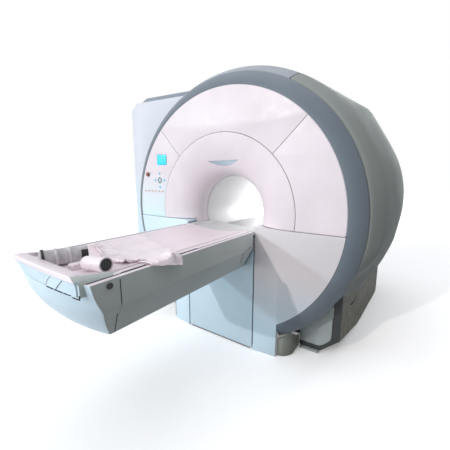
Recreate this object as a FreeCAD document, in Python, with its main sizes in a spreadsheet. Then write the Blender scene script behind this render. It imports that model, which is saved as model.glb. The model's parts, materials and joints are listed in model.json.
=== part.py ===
import FreeCAD, Part
import Sketcher
import os
from math import atan2, cos, pi, radians, sin, sqrt

# Whole-body MRI scanner: a cylindrical magnet in moulded covers, with a patient table that
# stands out in front of it on a lift, and a tabletop that slides from the table into the bore.
# Millimetres. X to the right and Y into the magnet, seen from the table; Z up.
# The origin is on the floor, under the bore axis, in the plane of the white front face.

Vector = FreeCAD.Vector
Rotation = FreeCAD.Rotation
Placement = FreeCAD.Placement

doc = FreeCAD.newDocument("mri_scanner")
sheet = doc.addObject("Spreadsheet::Sheet", "Sizes")
parts = []


class Size:
    """A number together with the sheet formula that it comes from."""

    def __init__(self, value, formula):
        self.value = value
        self.formula = formula

    def __add__(self, other):
        other = as_size(other)
        return Size(self.value + other.value, "(%s + %s)" % (self.formula, other.formula))

    def __sub__(self, other):
        other = as_size(other)
        return Size(self.value - other.value, "(%s - %s)" % (self.formula, other.formula))

    def __mul__(self, other):
        other = as_size(other)
        return Size(self.value * other.value, "(%s * %s)" % (self.formula, other.formula))

    def __truediv__(self, other):
        other = as_size(other)
        return Size(self.value / other.value, "(%s / %s)" % (self.formula, other.formula))

    def __neg__(self):
        return Size(-self.value, "(-1 * %s)" % self.formula)

    def __rsub__(self, other):
        return as_size(other) - self

    def root(self):
        return Size(sqrt(self.value), "sqrt(%s)" % self.formula)

    def cosine(self):
        return Size(cos(radians(self.value)), "cos(%s)" % self.formula)

    def sine(self):
        return Size(sin(radians(self.value)), "sin(%s)" % self.formula)

    __radd__ = __add__
    __rmul__ = __mul__


def as_size(number):
    if isinstance(number, Size):
        return number
    return Size(float(number), "(%.6f)" % number)


def cell(name, value):
    """Writes a driving dimension into the sheet and returns it."""
    row = cell.row = cell.row + 1
    sheet.set("A%d" % row, name.replace("_", " "))
    sheet.set("B%d" % row, "%s" % value)
    sheet.setAlias("B%d" % row, name)
    return Size(float(value), "Sizes.%s" % name)


cell.row = 0

# Bore and front face
bore_height = cell("bore_height", 1067.5)
bore_radius = cell("bore_radius", 300)
throat_radius = cell("throat_radius", 307)
throat_depth = cell("throat_depth", 200)
funnel_seam = cell("funnel_seam_radius", 627)
face_radius = cell("face_radius", 955)
side_seam = cell("side_seam_height", 988)
right_seam = cell("right_seam_angle", 44.7)
left_seam = cell("left_seam_angle", 47.4)
panel = cell("panel_thickness", 20)
shell = cell("shell_thickness", 15)
gap = cell("seam_gap", 2)
gap_angle = cell("seam_gap_angle", 0.1)

# Trim ring and barrel
ring_inner = cell("ring_inner_radius", 957)
ring_outer = cell("ring_outer_radius", 1061.5)
ring_edge = cell("ring_edge_depth", 71)
ring_depth = cell("ring_depth", 90)
barrel_front = cell("barrel_front_radius", 1072)
barrel_radius = cell("barrel_radius", 1137)
flare_depth = cell("flare_depth", 200)
side_radius = cell("side_cover_radius", 1200)
side_full_depth = cell("side_full_depth", 560)
side_taper_depth = cell("side_taper_depth", 1500)
barrel_rear = cell("barrel_rear_radius", 1075)
barrel_depth = cell("barrel_depth", 2050)
rear_depth = cell("rear_face_depth", 2130)
top_seam = cell("top_seam_angle", 61)
rear_bore = cell("rear_opening_radius", 420)

# Neck and table
neck_width = cell("neck_half_width", 519)
neck_front = cell("neck_front_depth", 18)
slit_inner = cell("slit_inner_half", 324.5)
slit_outer = cell("slit_outer_half", 334.5)
table_half = cell("table_half_width", 332.5)
table_top = cell("table_top_height", 959)
table_crease = cell("table_crease_height", 835)
table_bottom = cell("table_bottom_height", 682)
table_foot_half = cell("table_bottom_half", 249)
lip_inner = cell("lip_inner_half", 262)
beam_wall = cell("beam_wall", 12)
beam_foot = cell("beam_foot_length", 1140)
beam_head = cell("beam_head_length", 42)
board_half = cell("board_half_width", 258)
board_centre = cell("board_centre_height", 936)
board_arc = cell("board_arc_radius", 1293)
board_thick = cell("board_thickness", 14)
board_foot = cell("board_foot_length", 1264)
board_head = cell("board_head_length", 30)
lift_travel = cell("lift_travel", 400)

# Magnet
vessel_radius = cell("vessel_radius", 930)
vessel_bore = cell("vessel_bore_radius", 440)
vessel_front = cell("vessel_front_depth", 300)
vessel_rear = cell("vessel_rear_depth", 1850)
coil_split = cell("coil_split_radius", 330)
liner_radius = cell("liner_outer_radius", 308)

# Wing cabinet
wing_left = cell("wing_left_reach", 1300)
wing_front = cell("wing_front_depth", 200)
wing_back = cell("wing_back_depth", 900)
wing_top = cell("wing_top_height", 2125)
cap_top = cell("wing_cap_height", 2200)

doc.recompute()

funnel_end = throat_depth + 32
liner_end = vessel_rear + 48

PLANES = {"X": "YZ_Plane", "Y": "XZ_Plane", "Z": "XY_Plane"}

# Facets round the barrel and round the bore, and the fans that divide the barrel into covers
BARREL_SIDES = 72
BORE_SIDES = 48
SMALL_SIDES = 24
STEM_SIDES = 12
FAN_STEPS = 4
FAN_REACH = 2500


def new_body(name, at_bore=False):
    """An empty body, at the origin or with its own Y axis on the bore axis."""
    body = doc.addObject("PartDesign::Body", name)
    if at_bore:
        body.Placement = Placement(Vector(0, 0, bore_height.value), Rotation())
        body.setExpression(".Placement.Base.z", bore_height.formula)
    return body


def new_sketch(body, along, start=0, turned=0):
    """A sketch square to an axis of its body, at a distance along that axis."""
    role = PLANES[along]
    plane = [item for item in body.Origin.OriginFeatures if item.Role == role][0]
    sketch = body.newObject("Sketcher::SketchObject", body.Name + "_outline")
    sketch.AttachmentSupport = [(plane, "")]
    sketch.MapMode = "FlatFace"
    offset = as_size(start)
    if along == "Y":
        offset = -offset
    turn = as_size(turned)
    sketch.AttachmentOffset = Placement(
        Vector(0, 0, offset.value), Rotation(Vector(0, -1, 0), turn.value))
    sketch.setExpression(".AttachmentOffset.Base.z", offset.formula)
    return sketch


def add_outline(sketch, corners):
    """Adds a closed outline. A corner is (across, up) or (across, up, radius).

    The radius bends the edge that leaves the corner, to the left of its way when positive.
    """
    points = [(as_size(item[0]), as_size(item[1])) for item in corners]
    bends = [item[2] if len(item) > 2 else None for item in corners]
    first = sketch.GeometryCount
    ends = []
    for index, (start, bend) in enumerate(zip(points, bends)):
        end = points[(index + 1) % len(points)]
        here = Vector(start[0].value, start[1].value, 0)
        there = Vector(end[0].value, end[1].value, 0)
        if bend is None:
            sketch.addGeometry(Part.LineSegment(here, there), False)
            ends.append((1, 2))
            continue
        radius = as_size(bend)
        chord = there - here
        side = Vector(-chord.y, chord.x, 0).normalize()
        reach = sqrt(max(radius.value ** 2 - chord.Length ** 2 / 4, 0))
        if radius.value > 0:
            centre = (here + there) * 0.5 + side * reach
            low, high = here, there
            ends.append((1, 2))
        else:
            centre = (here + there) * 0.5 - side * reach
            low, high = there, here
            ends.append((2, 1))
        low_angle = atan2(low.y - centre.y, low.x - centre.x)
        high_angle = atan2(high.y - centre.y, high.x - centre.x)
        if high_angle <= low_angle:
            high_angle = high_angle + 2 * pi
        circle = Part.Circle(centre, Vector(0, 0, 1), abs(radius.value))
        sketch.addGeometry(Part.ArcOfCircle(circle, low_angle, high_angle), False)
    for index in range(len(points)):
        follower = (index + 1) % len(points)
        sketch.addConstraint(Sketcher.Constraint(
            "Coincident", first + index, ends[index][1], first + follower, ends[follower][0]))
    for index, (start, bend) in enumerate(zip(points, bends)):
        edge = first + index
        for kind, length in (("DistanceX", start[0]), ("DistanceY", start[1])):
            number = sketch.addConstraint(Sketcher.Constraint(
                kind, -1, 1, edge, ends[index][0], length.value))
            sketch.setExpression("Constraints[%d]" % number, length.formula)
        if bend is not None:
            number = sketch.addConstraint(Sketcher.Constraint(
                "Radius", edge, abs(as_size(bend).value)))
            if isinstance(bend, Size) and bend.value > 0:
                sketch.setExpression("Constraints[%d]" % number, bend.formula)


def pad(body, along, corners, start, length, holes=()):
    """Adds a prism that runs from start, a length along an axis."""
    sketch = new_sketch(body, along, start)
    add_outline(sketch, corners)
    for hole in holes:
        add_outline(sketch, hole)
    feature = body.newObject("PartDesign::Pad", body.Name + "_pad")
    feature.Profile = sketch
    feature.Length = as_size(length).value
    feature.setExpression("Length", as_size(length).formula)
    feature.Reversed = along == "Y"
    doc.recompute()
    return feature


def pocket(body, along, corners, start, length):
    """Cuts a prism out of the body, from start, a length along an axis."""
    before = body.Shape.Volume
    sketch = new_sketch(body, along, start)
    add_outline(sketch, corners)
    feature = body.newObject("PartDesign::Pocket", body.Name + "_pocket")
    feature.Profile = sketch
    feature.Length = as_size(length).value
    feature.setExpression("Length", as_size(length).formula)
    feature.Reversed = along != "Y"
    doc.recompute()
    if not body.Shape.Volume < before - 1:
        raise RuntimeError("a pocket of %s cuts nothing" % body.Name)
    return feature


def turned(body, profile, start=0, sweep=360):
    """Turns a (radius, depth) profile round the body's Y axis.

    The sector begins at the elevation start and runs clockwise, seen from the table.
    """
    sketch = new_sketch(body, "Z", 0, start)
    add_outline(sketch, profile)
    feature = body.newObject("PartDesign::Revolution", body.Name + "_turning")
    feature.Profile = sketch
    feature.ReferenceAxis = (sketch, ["V_Axis"])
    feature.Angle = as_size(sweep).value
    feature.setExpression("Angle", as_size(sweep).formula)
    doc.recompute()
    return feature


def facet_ring(name, profile, sides):
    """A ring of flat facets round the bore axis, from its (radius, depth) profile."""
    section = doc.addObject("Sketcher::SketchObject", name + "_section")
    path = doc.addObject("Part::RegularPolygon", name + "_path")
    path.Polygon = sides
    path.Circumradius = face_radius.value
    for item, turn in ((section, 0), (path, 90)):
        item.Placement = Placement(Vector(0, 0, bore_height.value), Rotation(Vector(1, 0, 0), turn))
        item.setExpression(".Placement.Base.z", bore_height.formula)
    add_outline(section, profile)
    doc.recompute()
    ring = doc.addObject("Part::Sweep", name)
    ring.Sections = [section]
    ring.Spine = (path, ["Edge%d" % (edge + 1) for edge in range(sides)])
    ring.Solid = True
    ring.Transition = "Right corner"
    return ring


def sector(name, first, last):
    """A fan-shaped block round the bore axis, between two elevations counted from +X."""
    body = new_body(name, at_bore=True)
    first = as_size(first)
    step = (as_size(last) - first) / FAN_STEPS
    fan = [(0, 0)]
    for number in range(FAN_STEPS + 1):
        angle = first + step * number
        fan.append((angle.cosine() * FAN_REACH, angle.sine() * FAN_REACH))
    pad(body, "Y", fan, -50, rear_depth + 100)
    return body


def box(name, low, high):
    """A Part box between two corners."""
    block = doc.addObject("Part::Box", name)
    sizes = [as_size(b) - as_size(a) for a, b in zip(low, high)]
    block.Placement = Placement(Vector(*[as_size(a).value for a in low]), Rotation())
    for axis, corner in zip("xyz", low):
        block.setExpression(".Placement.Base." + axis, as_size(corner).formula)
    for side, length in zip(("Length", "Width", "Height"), sizes):
        setattr(block, side, length.value)
        block.setExpression(side, length.formula)
    return block


def rod(name, along, centre, radius, start, length):
    """A Part cylinder along an axis; centre gives its place across that axis."""
    cylinder = doc.addObject("Part::Cylinder", name)
    cylinder.Radius = as_size(radius).value
    cylinder.setExpression("Radius", as_size(radius).formula)
    cylinder.Height = as_size(length).value
    cylinder.setExpression("Height", as_size(length).formula)
    turns = {"X": Rotation(Vector(0, 1, 0), 90), "Y": Rotation(Vector(1, 0, 0), -90),
             "Z": Rotation()}
    place = {"X": (start, centre[0], centre[1]), "Y": (centre[0], start, centre[1]),
             "Z": (centre[0], centre[1], start)}[along]
    cylinder.Placement = Placement(Vector(*[as_size(item).value for item in place]), turns[along])
    for axis, item in zip("xyz", place):
        cylinder.setExpression(".Placement.Base." + axis, as_size(item).formula)
    return cylinder


def prism(name, sides, radius, height, base, axis=(0, 0, 1)):
    """A Part prism that stands on a point and points along an axis."""
    solid = doc.addObject("Part::Prism", name)
    solid.Polygon = sides
    solid.Circumradius = as_size(radius).value
    solid.setExpression("Circumradius", as_size(radius).formula)
    solid.Height = as_size(height).value
    solid.setExpression("Height", as_size(height).formula)
    solid.Placement = Placement(Vector(*base), Rotation(Vector(0, 0, 1), Vector(*axis)))
    return solid


def cut(name, base, tool):
    result = doc.addObject("Part::Cut", name)
    result.Base = base
    result.Tool = tool
    return result


def common(name, base, tool):
    result = doc.addObject("Part::Common", name)
    result.Base = base
    result.Tool = tool
    return result


def fuse(name, pieces):
    result = doc.addObject("Part::MultiFuse", name)
    result.Shapes = pieces
    result.Refine = True
    return result


def group(name, pieces):
    """Several separate solids of one kind, kept as one node."""
    result = doc.addObject("Part::Compound", name)
    result.Links = pieces
    return result


def mirrored(name, source):
    """The same piece on the other side of the bore axis."""
    result = doc.addObject("Part::Mirroring", name)
    result.Source = source
    result.Base = Vector(0, 0, 0)
    result.Normal = Vector(1, 0, 0)
    return result


def keep(item, label):
    """Marks an object as a finished piece and gives it its name."""
    item.Label = label
    parts.append(item)
    doc.recompute()
    return item


def rectangle(left, low, right, high):
    return [(left, low), (right, low), (right, high), (left, high)]


def polygon(radius, sides, first_angle=0, centre=(0, 0)):
    """Corners of a regular polygon."""
    angles = [radians(first_angle + 360 * index / sides) for index in range(sides)]
    return [(as_size(centre[0]) + as_size(radius) * cos(angle),
             as_size(centre[1]) + as_size(radius) * sin(angle)) for angle in angles]


def chord_height(radius, across):
    """How far a circle lies above or below its centre at a distance across it."""
    return (as_size(radius) * radius - as_size(across) * across).root()


# ---------------------------------------------------------------- magnet and coils

def tube(name, inner, outer, start, end):
    return facet_ring(name, [(inner, start), (outer, start), (outer, end), (inner, end)], BORE_SIDES)


def make_magnet():
    keep(tube("vessel", vessel_bore, vessel_radius, vessel_front, vessel_rear), "vacuum_vessel")
    keep(tube("gradient", coil_split, vessel_bore, vessel_front + 40, vessel_rear - 40),
         "gradient_coil")
    keep(tube("resonator", liner_radius, coil_split, vessel_front, vessel_rear), "body_coil")
    keep(tube("liner", bore_radius, liner_radius, funnel_end, liner_end), "bore_liner")

    seat = tube("vessel_seat", vessel_bore, vessel_radius, vessel_front, vessel_rear)
    foot_half = 620
    foot_length = 140
    foot_height = 320
    feet = []
    for depth in (420, 1590):
        saddle = box("foot_saddle", (-foot_half, depth, 0),
                     (foot_half, depth + foot_length, foot_height))
        feet.append(cut("cut_saddle", saddle, seat))
    keep(group("saddles", feet), "magnet_feet")

    turret_half = 150
    turret_depth = 900
    turret_length = 340
    turret_low = 1900
    turret_top = 2080
    turret_middle = turret_depth + turret_length / 2
    turret = fuse("turret_fuse", [
        box("turret_box", (-turret_half, turret_depth, turret_low),
            (turret_half, turret_depth + turret_length, turret_top)),
        prism("turret_neck", STEM_SIDES, 95, 110, (0, turret_middle, turret_top - 10)),
    ])
    keep(cut("turret_cut", turret, seat), "cold_head_turret")


def barrel_room(name):
    """The space that the ring and the side covers take, with a seam's width round them."""
    clear = gap + 1
    core = 500
    return facet_ring(name, [
        (core, -40), (ring_outer + clear, -40), (ring_outer + clear, ring_depth - 1),
        (barrel_front + clear, ring_depth), (barrel_radius + clear, flare_depth),
        (side_radius + clear, side_full_depth), (side_radius + clear, side_taper_depth),
        (barrel_rear + clear, barrel_depth + clear), (barrel_rear + clear, rear_depth + 10),
        (core, rear_depth + 10)], BARREL_SIDES)


# ---------------------------------------------------------------- covers of the front face

FLARE_STEPS = 6


def flare_profile():
    """The funnel's front line: a quarter of an ellipse from the face to the throat."""
    width = funnel_seam - gap / 2 - throat_radius
    line = []
    for step in range(FLARE_STEPS + 1):
        angle = radians(90 * (1 - step / FLARE_STEPS))
        line.append((throat_radius + width * (1 - cos(angle)), throat_depth * (1 - sin(angle))))
    return line


def make_funnel():
    seam = funnel_seam - gap / 2
    flare = facet_ring("flare", flare_profile() + [
        (throat_radius, funnel_end), (throat_radius + shell, funnel_end),
        (throat_radius + shell, throat_depth), (throat_radius + 125, panel + 52),
        (seam - 30, panel), (seam, panel)], BORE_SIDES)
    below = new_body("funnel_below")
    seam_low = side_seam + gap
    lip_low = table_top + gap
    tongue = table_half + 1
    pad(below, "Y", [
        (-700, 0), (700, 0), (700, seam_low), (tongue, seam_low), (tongue, lip_low),
        (-tongue, lip_low), (-tongue, seam_low), (-700, seam_low)], -10, funnel_end + 20)
    keep(cut("funnel_cut", flare, below), "front_funnel")

    window_half = 150
    window_top = 416.5
    window_low = 367
    window_back = 110
    lens = new_body("window_lens", at_bore=True)
    pad(lens, "X", [
        (31, window_top), (75, window_low), (window_back, window_low),
        (window_back, window_top)], -window_half, 2 * window_half)
    seat = facet_ring("window_seat", flare_profile() + [
        (throat_radius, funnel_end), (seam, funnel_end)], BORE_SIDES)
    keep(cut("window_cut", lens, seat), "laser_window")


def face_profile():
    return [(funnel_seam + gap / 2, 0), (face_radius, 0), (face_radius, panel),
            (funnel_seam + gap / 2, panel)]


def face_side_cover(name, seam_angle):
    """The face panel between a slanting seam and the level seam, on the right."""
    body = new_body(name, at_bore=True)
    turned(body, face_profile(), seam_angle - gap_angle, seam_angle - gap_angle + 8)
    low = side_seam + gap / 2 - bore_height
    pocket(body, "Y", rectangle(550, -300, 1000, low), -5, panel + 10)
    return body


def make_face_covers():
    upper = new_body("upper_front_cover", at_bore=True)
    turned(upper, face_profile(), 180 - left_seam - gap_angle,
           180 - left_seam - right_seam - gap_angle * 2)
    keep(upper, "upper_front_cover")
    keep(face_side_cover("right_front_cover", right_seam), "right_front_cover")


def lower_cover():
    """Quarter panel of the face with its side strip of the neck, on the right."""
    body = new_body("lower_cover")
    seam = side_seam - gap / 2 - 2
    fold = neck_width
    backing = 14
    pad(body, "Z", [
        (slit_outer, -neck_front), (fold, 0), (fold, shell), (slit_outer, shell - neck_front)],
        0, seam)
    edge_low = bore_height - chord_height(face_radius, fold)
    edge_high = chord_height(face_radius, bore_height - seam)
    pad(body, "Y", [(fold, edge_low, face_radius), (edge_high, seam), (fold - backing, seam),
                    (fold - backing, edge_low - 10)], 0, panel)

    # A shelf behind the top edge closes the gap between the panel and the funnel.
    shelf_low = seam - panel
    shelf_end = fold + 80
    pad(body, "Z", [
        (slit_outer, -2), (shelf_end, 2), (shelf_end, 24), (400, 62), (344, 112),
        (slit_outer, 118)], shelf_low, panel)
    return body


def make_lower_covers():
    right = keep(lower_cover(), "lower_right_cover")
    keep(mirrored("lower_mirror", right), "lower_left_cover")
    neck = new_body("neck_panel")
    neck_height = bridge_low - base_plate
    pad(neck, "Z", rectangle(-slit_inner, -neck_front, slit_inner, shell - neck_front),
        base_plate, neck_height)
    keep(neck, "neck_panel")


def make_ring():
    ring = facet_ring("ring", [
        (ring_inner, 0), (ring_outer, ring_edge), (ring_outer, ring_depth),
        (ring_inner, ring_depth)], BARREL_SIDES)
    neck = box("ring_neck", (-neck_width, -5, 0), (neck_width, ring_depth + 5, bore_height / 2))
    keep(cut("ring_cut", ring, neck), "trim_ring")


# ---------------------------------------------------------------- controls on the face

display_place = (-648.5, 1512)
stop_place = (-842, 1384)
pad_place = (-683, 1328)
key_row_place = (-767, 1228)
arrow_reach = 62
arrow_size = 16
arrow_room = 0.8
disc_radius = 30
collar_radius = 24
stem_hole = 8.7
ARROWS = {"arrow_up": 90, "arrow_down": 270, "arrow_left": 180, "arrow_right": 0}


def arrow_outline(angle, size):
    centre = (pad_place[0] + arrow_reach * cos(radians(angle)),
              pad_place[1] + arrow_reach * sin(radians(angle)))
    return polygon(size, 3, angle, centre)


def plate(name, centre, width, height, front, depth):
    body = new_body(name)
    x, z = centre
    pad(body, "Y", rectangle(x - width / 2, z - height / 2, x + width / 2, z + height / 2),
        front, depth)
    return body


def make_controls():
    proud = -1
    display = plate("display", display_place, 121, 92, proud, 7)
    disc = new_body("disc")
    pad(disc, "Y", polygon(disc_radius, SMALL_SIDES, 0, pad_place), proud, 4)
    strip = plate("strip", key_row_place, 264, 24, proud, 3)
    stem_well = new_body("stem_well")
    pad(stem_well, "Y", polygon(stem_hole, STEM_SIDES, 0, stop_place), proud, 17)
    holes = [display, disc, strip, stem_well]
    for name, angle in ARROWS.items():
        well = new_body(name + "_well")
        pad(well, "Y", arrow_outline(angle, arrow_size + arrow_room), proud, 13)
        holes.append(well)
    panel_cover = mirrored("left_face", face_side_cover("left_face_source", left_seam))
    keep(cut("left_face_cut", panel_cover, fuse("control_holes", holes)), "left_front_cover")
    keep(display, "display_screen")
    keep(disc, "joypad_disc")
    keep(strip, "key_strip")

    collar = new_body("collar")
    pad(collar, "Y", polygon(collar_radius, SMALL_SIDES, 0, stop_place), -3, 3,
        [polygon(stem_hole, STEM_SIDES, 0, stop_place)])
    keep(collar, "stop_collar")
    button = new_body("stop_head")
    for radius, sides, front, depth in (
            (14, SMALL_SIDES, -18, 3), (18, SMALL_SIDES, -15, 7), (8, STEM_SIDES, -8, 18)):
        pad(button, "Y", polygon(radius, sides, 0, stop_place), front, depth)
    keep(button, "stop_button")
    for name, angle in ARROWS.items():
        key = new_body(name + "_key")
        pad(key, "Y", arrow_outline(angle, arrow_size), -2, 11)
        keep(key, name)


# ---------------------------------------------------------------- barrel covers and rear

def make_barrel():
    inner_front = ring_outer - 9
    side_slope = (barrel_depth - side_taper_depth) / (side_radius - barrel_rear)
    top_taper = side_taper_depth + side_slope * (side_radius - barrel_radius)
    top_ring = facet_ring("top_ring", [
        (barrel_front, ring_depth), (barrel_radius, flare_depth), (barrel_radius, top_taper),
        (barrel_rear, barrel_depth), (barrel_rear - shell, barrel_depth),
        (barrel_radius - shell, top_taper - 6), (barrel_radius - shell, flare_depth + 6),
        (inner_front, ring_depth)], BARREL_SIDES)
    top_fan = sector("top_fan", top_seam + gap_angle, 180 - top_seam - gap_angle)
    keep(common("top_common", top_ring, top_fan), "top_cover")

    inner = side_radius - shell
    side_ring = facet_ring("side_ring", [
        (barrel_front, ring_depth), (barrel_radius, flare_depth), (side_radius, side_full_depth),
        (side_radius, side_taper_depth), (barrel_rear, barrel_depth),
        (barrel_rear - shell, barrel_depth), (inner, side_taper_depth - 6),
        (inner, side_full_depth + 4), (barrel_radius - shell, flare_depth + 6),
        (inner_front, ring_depth)], BARREL_SIDES)
    seam = top_seam - gap_angle
    side_cover = common("side_common", side_ring, sector("side_fan", side_low, seam))
    rim_ring = facet_ring("rim_ring", [
        (barrel_radius - shell, flare_depth), (barrel_radius, flare_depth),
        (side_radius, side_full_depth), (side_radius, side_taper_depth),
        (barrel_radius, top_taper), (barrel_radius - shell, top_taper)], BARREL_SIDES)
    rim = common("rim_common", rim_ring, sector("rim_fan", seam - rim_angle, seam))
    skirt_room = box("skirt_room", (400, base_front, 0), (1300, base_rear, base_top))
    side = cut("side_cut", fuse("side_fuse", [side_cover, rim]), skirt_room)
    keep(side, "right_side_cover")
    keep(mirrored("side_mirror", side), "left_side_cover")


side_low = -58
rim_angle = 0.8
base_front = 252
base_rear = 1960
base_top = 300
base_floor = 16
skirt_height = 450
foot_cover_height = 200
facet_reach = 900


def make_base():
    """The skirts that close the barrel down to the floor, with their front trim."""
    skirt = new_body("skirt", at_bore=True)
    wall = shell.value
    outer = [(620, base_front), (925, base_front), (1020, 1800), (880, base_rear),
             (640, base_rear)]
    inner = [(640, base_rear - wall), (873, base_rear - wall), (1004, 1797),
             (911, base_front + wall), (620, base_front + wall)]
    floor_level = base_floor - bore_height
    pad(skirt, "Z", outer + inner, floor_level, skirt_height)
    room = barrel_room("skirt_barrel_room")

    # A flat facet takes off the lower front corner; a slab behind it closes the hole it leaves.
    facet_point = (788, base_front, base_floor)
    inward = Vector(-0.662, 0.186, 0.726)
    slab = prism("corner_slab", 4, facet_reach, shell, facet_point, inward)
    block = new_body("skirt_block")
    pad(block, "Z", outer[:2] + [(965, 905), (640, 905)], base_floor, skirt_height)
    whole = fuse("skirt_fuse", [skirt, common("corner_fill", slab, block)])
    corner = prism("corner_off", 4, facet_reach, facet_reach / 3, facet_point, -inward)
    faceted = cut("corner_cut", whole, corner)
    right = keep(cut("skirt_cut", faceted, room), "right_base_cover")
    keep(mirrored("skirt_mirror", right), "left_base_cover")

    def front_trim(name, outline, depth):
        body = new_body(name)
        pad(body, "Y", outline, base_front - depth, depth)
        return cut(name + "_cut", body, room)

    strip = front_trim("strip_right", [
        (622, 18), (788, 18, 138), (926, 156), (926, 440), (868, 440), (868, 130, -80),
        (788, 50), (622, 50)], 6)
    keep(group("strips", [strip, mirrored("strip_mirror", strip)]), "edge_strips")
    inset = front_trim("inset_right", [
        (622, 52), (788, 52, 78), (866, 130), (866, 440), (622, 440)], 4)
    keep(group("insets", [inset, mirrored("inset_mirror", inset)]), "inset_panels")

    foot_body = new_body("foot_right")
    pad(foot_body, "Z", [
        (521, 22), (560, 34, 150), (617, 110), (619, 250), (604, 250), (602, 116, -135),
        (552, 49), (521, 38)], 0, foot_cover_height)
    foot = cut("foot_cut", foot_body, room)
    keep(group("feet", [foot, mirrored("foot_mirror", foot)]), "foot_covers")

    plates = []
    for left, near, right_edge, far in ((630, 222, 780, 420), (700, 1780, 850, 1965)):
        floor_plate = box("floor_plate", (left, near, 0), (right_edge, far, base_floor))
        plates.append(floor_plate)
        plates.append(mirrored("floor_plate_mirror", floor_plate))
    keep(group("plates", plates), "foot_plates")


def make_rear():
    inner = rear_depth - 16
    back = barrel_depth + gap
    bevel = 75
    ring = facet_ring("rear_ring", [
        (rear_bore + 2, inner), (rear_bore + 2, rear_depth), (barrel_rear - bevel, rear_depth),
        (barrel_rear, back), (barrel_rear - 22, back), (barrel_rear - bevel - 7, inner)],
        BORE_SIDES)
    neck = box("rear_neck", (-600, back - 20, -20), (600, rear_depth + 20, 15))
    keep(cut("rear_cut", ring, neck), "rear_cover")

    keep(facet_ring("rear_flare", [
        (throat_radius, liner_end), (345, rear_depth - 70), (rear_bore, rear_depth),
        (rear_bore, rear_depth - shell), (throat_radius + panel, liner_end)], BORE_SIDES),
        "rear_funnel")


def frame_struts(body, start, end):
    """Four square struts that hold a frame to the vessel's end face."""
    strut_half = 30
    for x in (-560, 560):
        for z in (-520, 520):
            pad(body, "Y", rectangle(x - strut_half, z - strut_half, x + strut_half,
                                     z + strut_half), start, end - start)


def make_frames():
    octagon = 22.5
    plate_thick = 20
    front = new_body("front_frame", at_bore=True)
    pad(front, "Y", polygon(940, 8, octagon), panel, plate_thick, [polygon(650, 8, octagon)])
    frame_struts(front, panel + plate_thick, vessel_front)
    pocket(front, "Y", rectangle(-350, -1000, 350, -300), 0, 60)
    keep(front, "front_frame")

    rear = new_body("rear_frame", at_bore=True)
    rear_plate = barrel_depth - 32
    pad(rear, "Y", polygon(1057, 8, octagon), rear_plate, plate_thick,
        [polygon(500, 8, octagon)])
    frame_struts(rear, vessel_rear, rear_depth - 16)
    keep(rear, "rear_frame")


# ---------------------------------------------------------------- wing cabinet on the left

def make_wing():
    face_right = -540
    wing = new_body("wing", at_bore=True)
    low = -bore_height
    high = wing_top - bore_height
    corner = -1160
    front_right = wing_front + 100
    pad(wing, "Z", [
        (-wing_left, wing_front), (face_right, front_right), (face_right, wing_back),
        (-wing_left, wing_back)], low, wing_top)
    pocket(wing, "Y", [(-1310, high - 105), (corner, high + 5), (-1310, high + 5)], 150, 800)
    wall = shell
    pocket(wing, "Z", [
        (wall - wing_left, wing_front + wall + 2), (-500, front_right + wall),
        (-500, wing_back - wall), (wall - wing_left, wing_back - wall)], low - 5,
        wing_top - 120)
    pocket(wing, "Z", [
        (20 + corner, wing_front + wall + 10), (-500, front_right + wall),
        (-500, wing_back - wall), (20 + corner, wing_back - wall)], high - 130, 115)
    pocket(wing, "Y", rectangle(-930, low - 5, -500, 700 - bore_height), 150, 800)
    pocket(wing, "Y", rectangle(-990, low - 5, -500, 520 - bore_height), 330, 800)
    whole = facet_ring("wing_core", [
        (500, 0), (barrel_radius + 3, 0), (barrel_radius + 3, 2000), (500, 2000)], BARREL_SIDES)
    side_room = common("wing_side_room", barrel_room("wing_barrel_room"),
                       sector("wing_fan", 180 - top_seam, 180 + top_seam))
    keep(cut("wing_cut", cut("wing_core_cut", wing, whole), side_room), "wing_cover")

    cap = new_body("cap", at_bore=True)
    rise = cap_top - wing_top
    pad(cap, "X", [
        (wing_front + 30, high), (wing_front + 105, high + rise), (wing_back, high + rise),
        (wing_back, high)], corner, -300 - corner)
    keep(cut("cap_cut", cap, whole), "wing_cap")


# ---------------------------------------------------------------- neck bridge and bore rails

def board_height(across):
    """Height of the tabletop's upper face at a distance from its middle."""
    return board_centre + board_arc - chord_height(board_arc, across)


def make_bridge():
    bridge = new_body("neck_bridge")
    under = bridge_low
    drop = board_thick + 1
    edge = board_half + 1
    lip = table_half - 1.5
    pad(bridge, "Y", [
        (lip, table_top), (lip_inner, table_top), (edge, board_height(edge) - drop, -board_arc),
        (-edge, board_height(edge) - drop), (-lip_inner, table_top), (-lip, table_top),
        (-lip, table_top - 14), (-270, table_top - 14), (-240, under), (240, under),
        (270, table_top - 14), (lip, table_top - 14)], -15, throat_depth + 43)
    inner = 236
    pad(bridge, "Y", [
        (inner, board_height(inner) - drop, -board_arc), (-inner, board_height(inner) - drop),
        (-200, under), (200, under)], throat_depth + 28, 102)
    keep(bridge, "neck_bridge")

    rails = []
    rail_place = 155
    rail_half = 15
    rail_start = 335
    rail_top = board_height(rail_place - rail_half) - board_thick - 0.6
    rail_seat = tube("rail_seat", bore_radius, vessel_bore, rail_start - 35, liner_end)
    for side in (-1, 1):
        middle = side * rail_place
        rail = box("bore_rail", (middle - rail_half, rail_start, 760),
                   (middle + rail_half, vessel_rear + 30, rail_top))
        rails.append(cut("bore_rail_cut", rail, rail_seat))
    keep(group("rails", rails), "bore_rails")


# ---------------------------------------------------------------- lift under the neck

bridge_low = 905
rail_near = 70
rail_size = 30
guide_place = 256
guide_half = 20
carriage_near = 20
carriage_thick = 25
carriage_low = 640
carriage_top = 900
ram_depth = 165
ram_radius = 25
base_plate = 12
ram_head = 442


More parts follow.
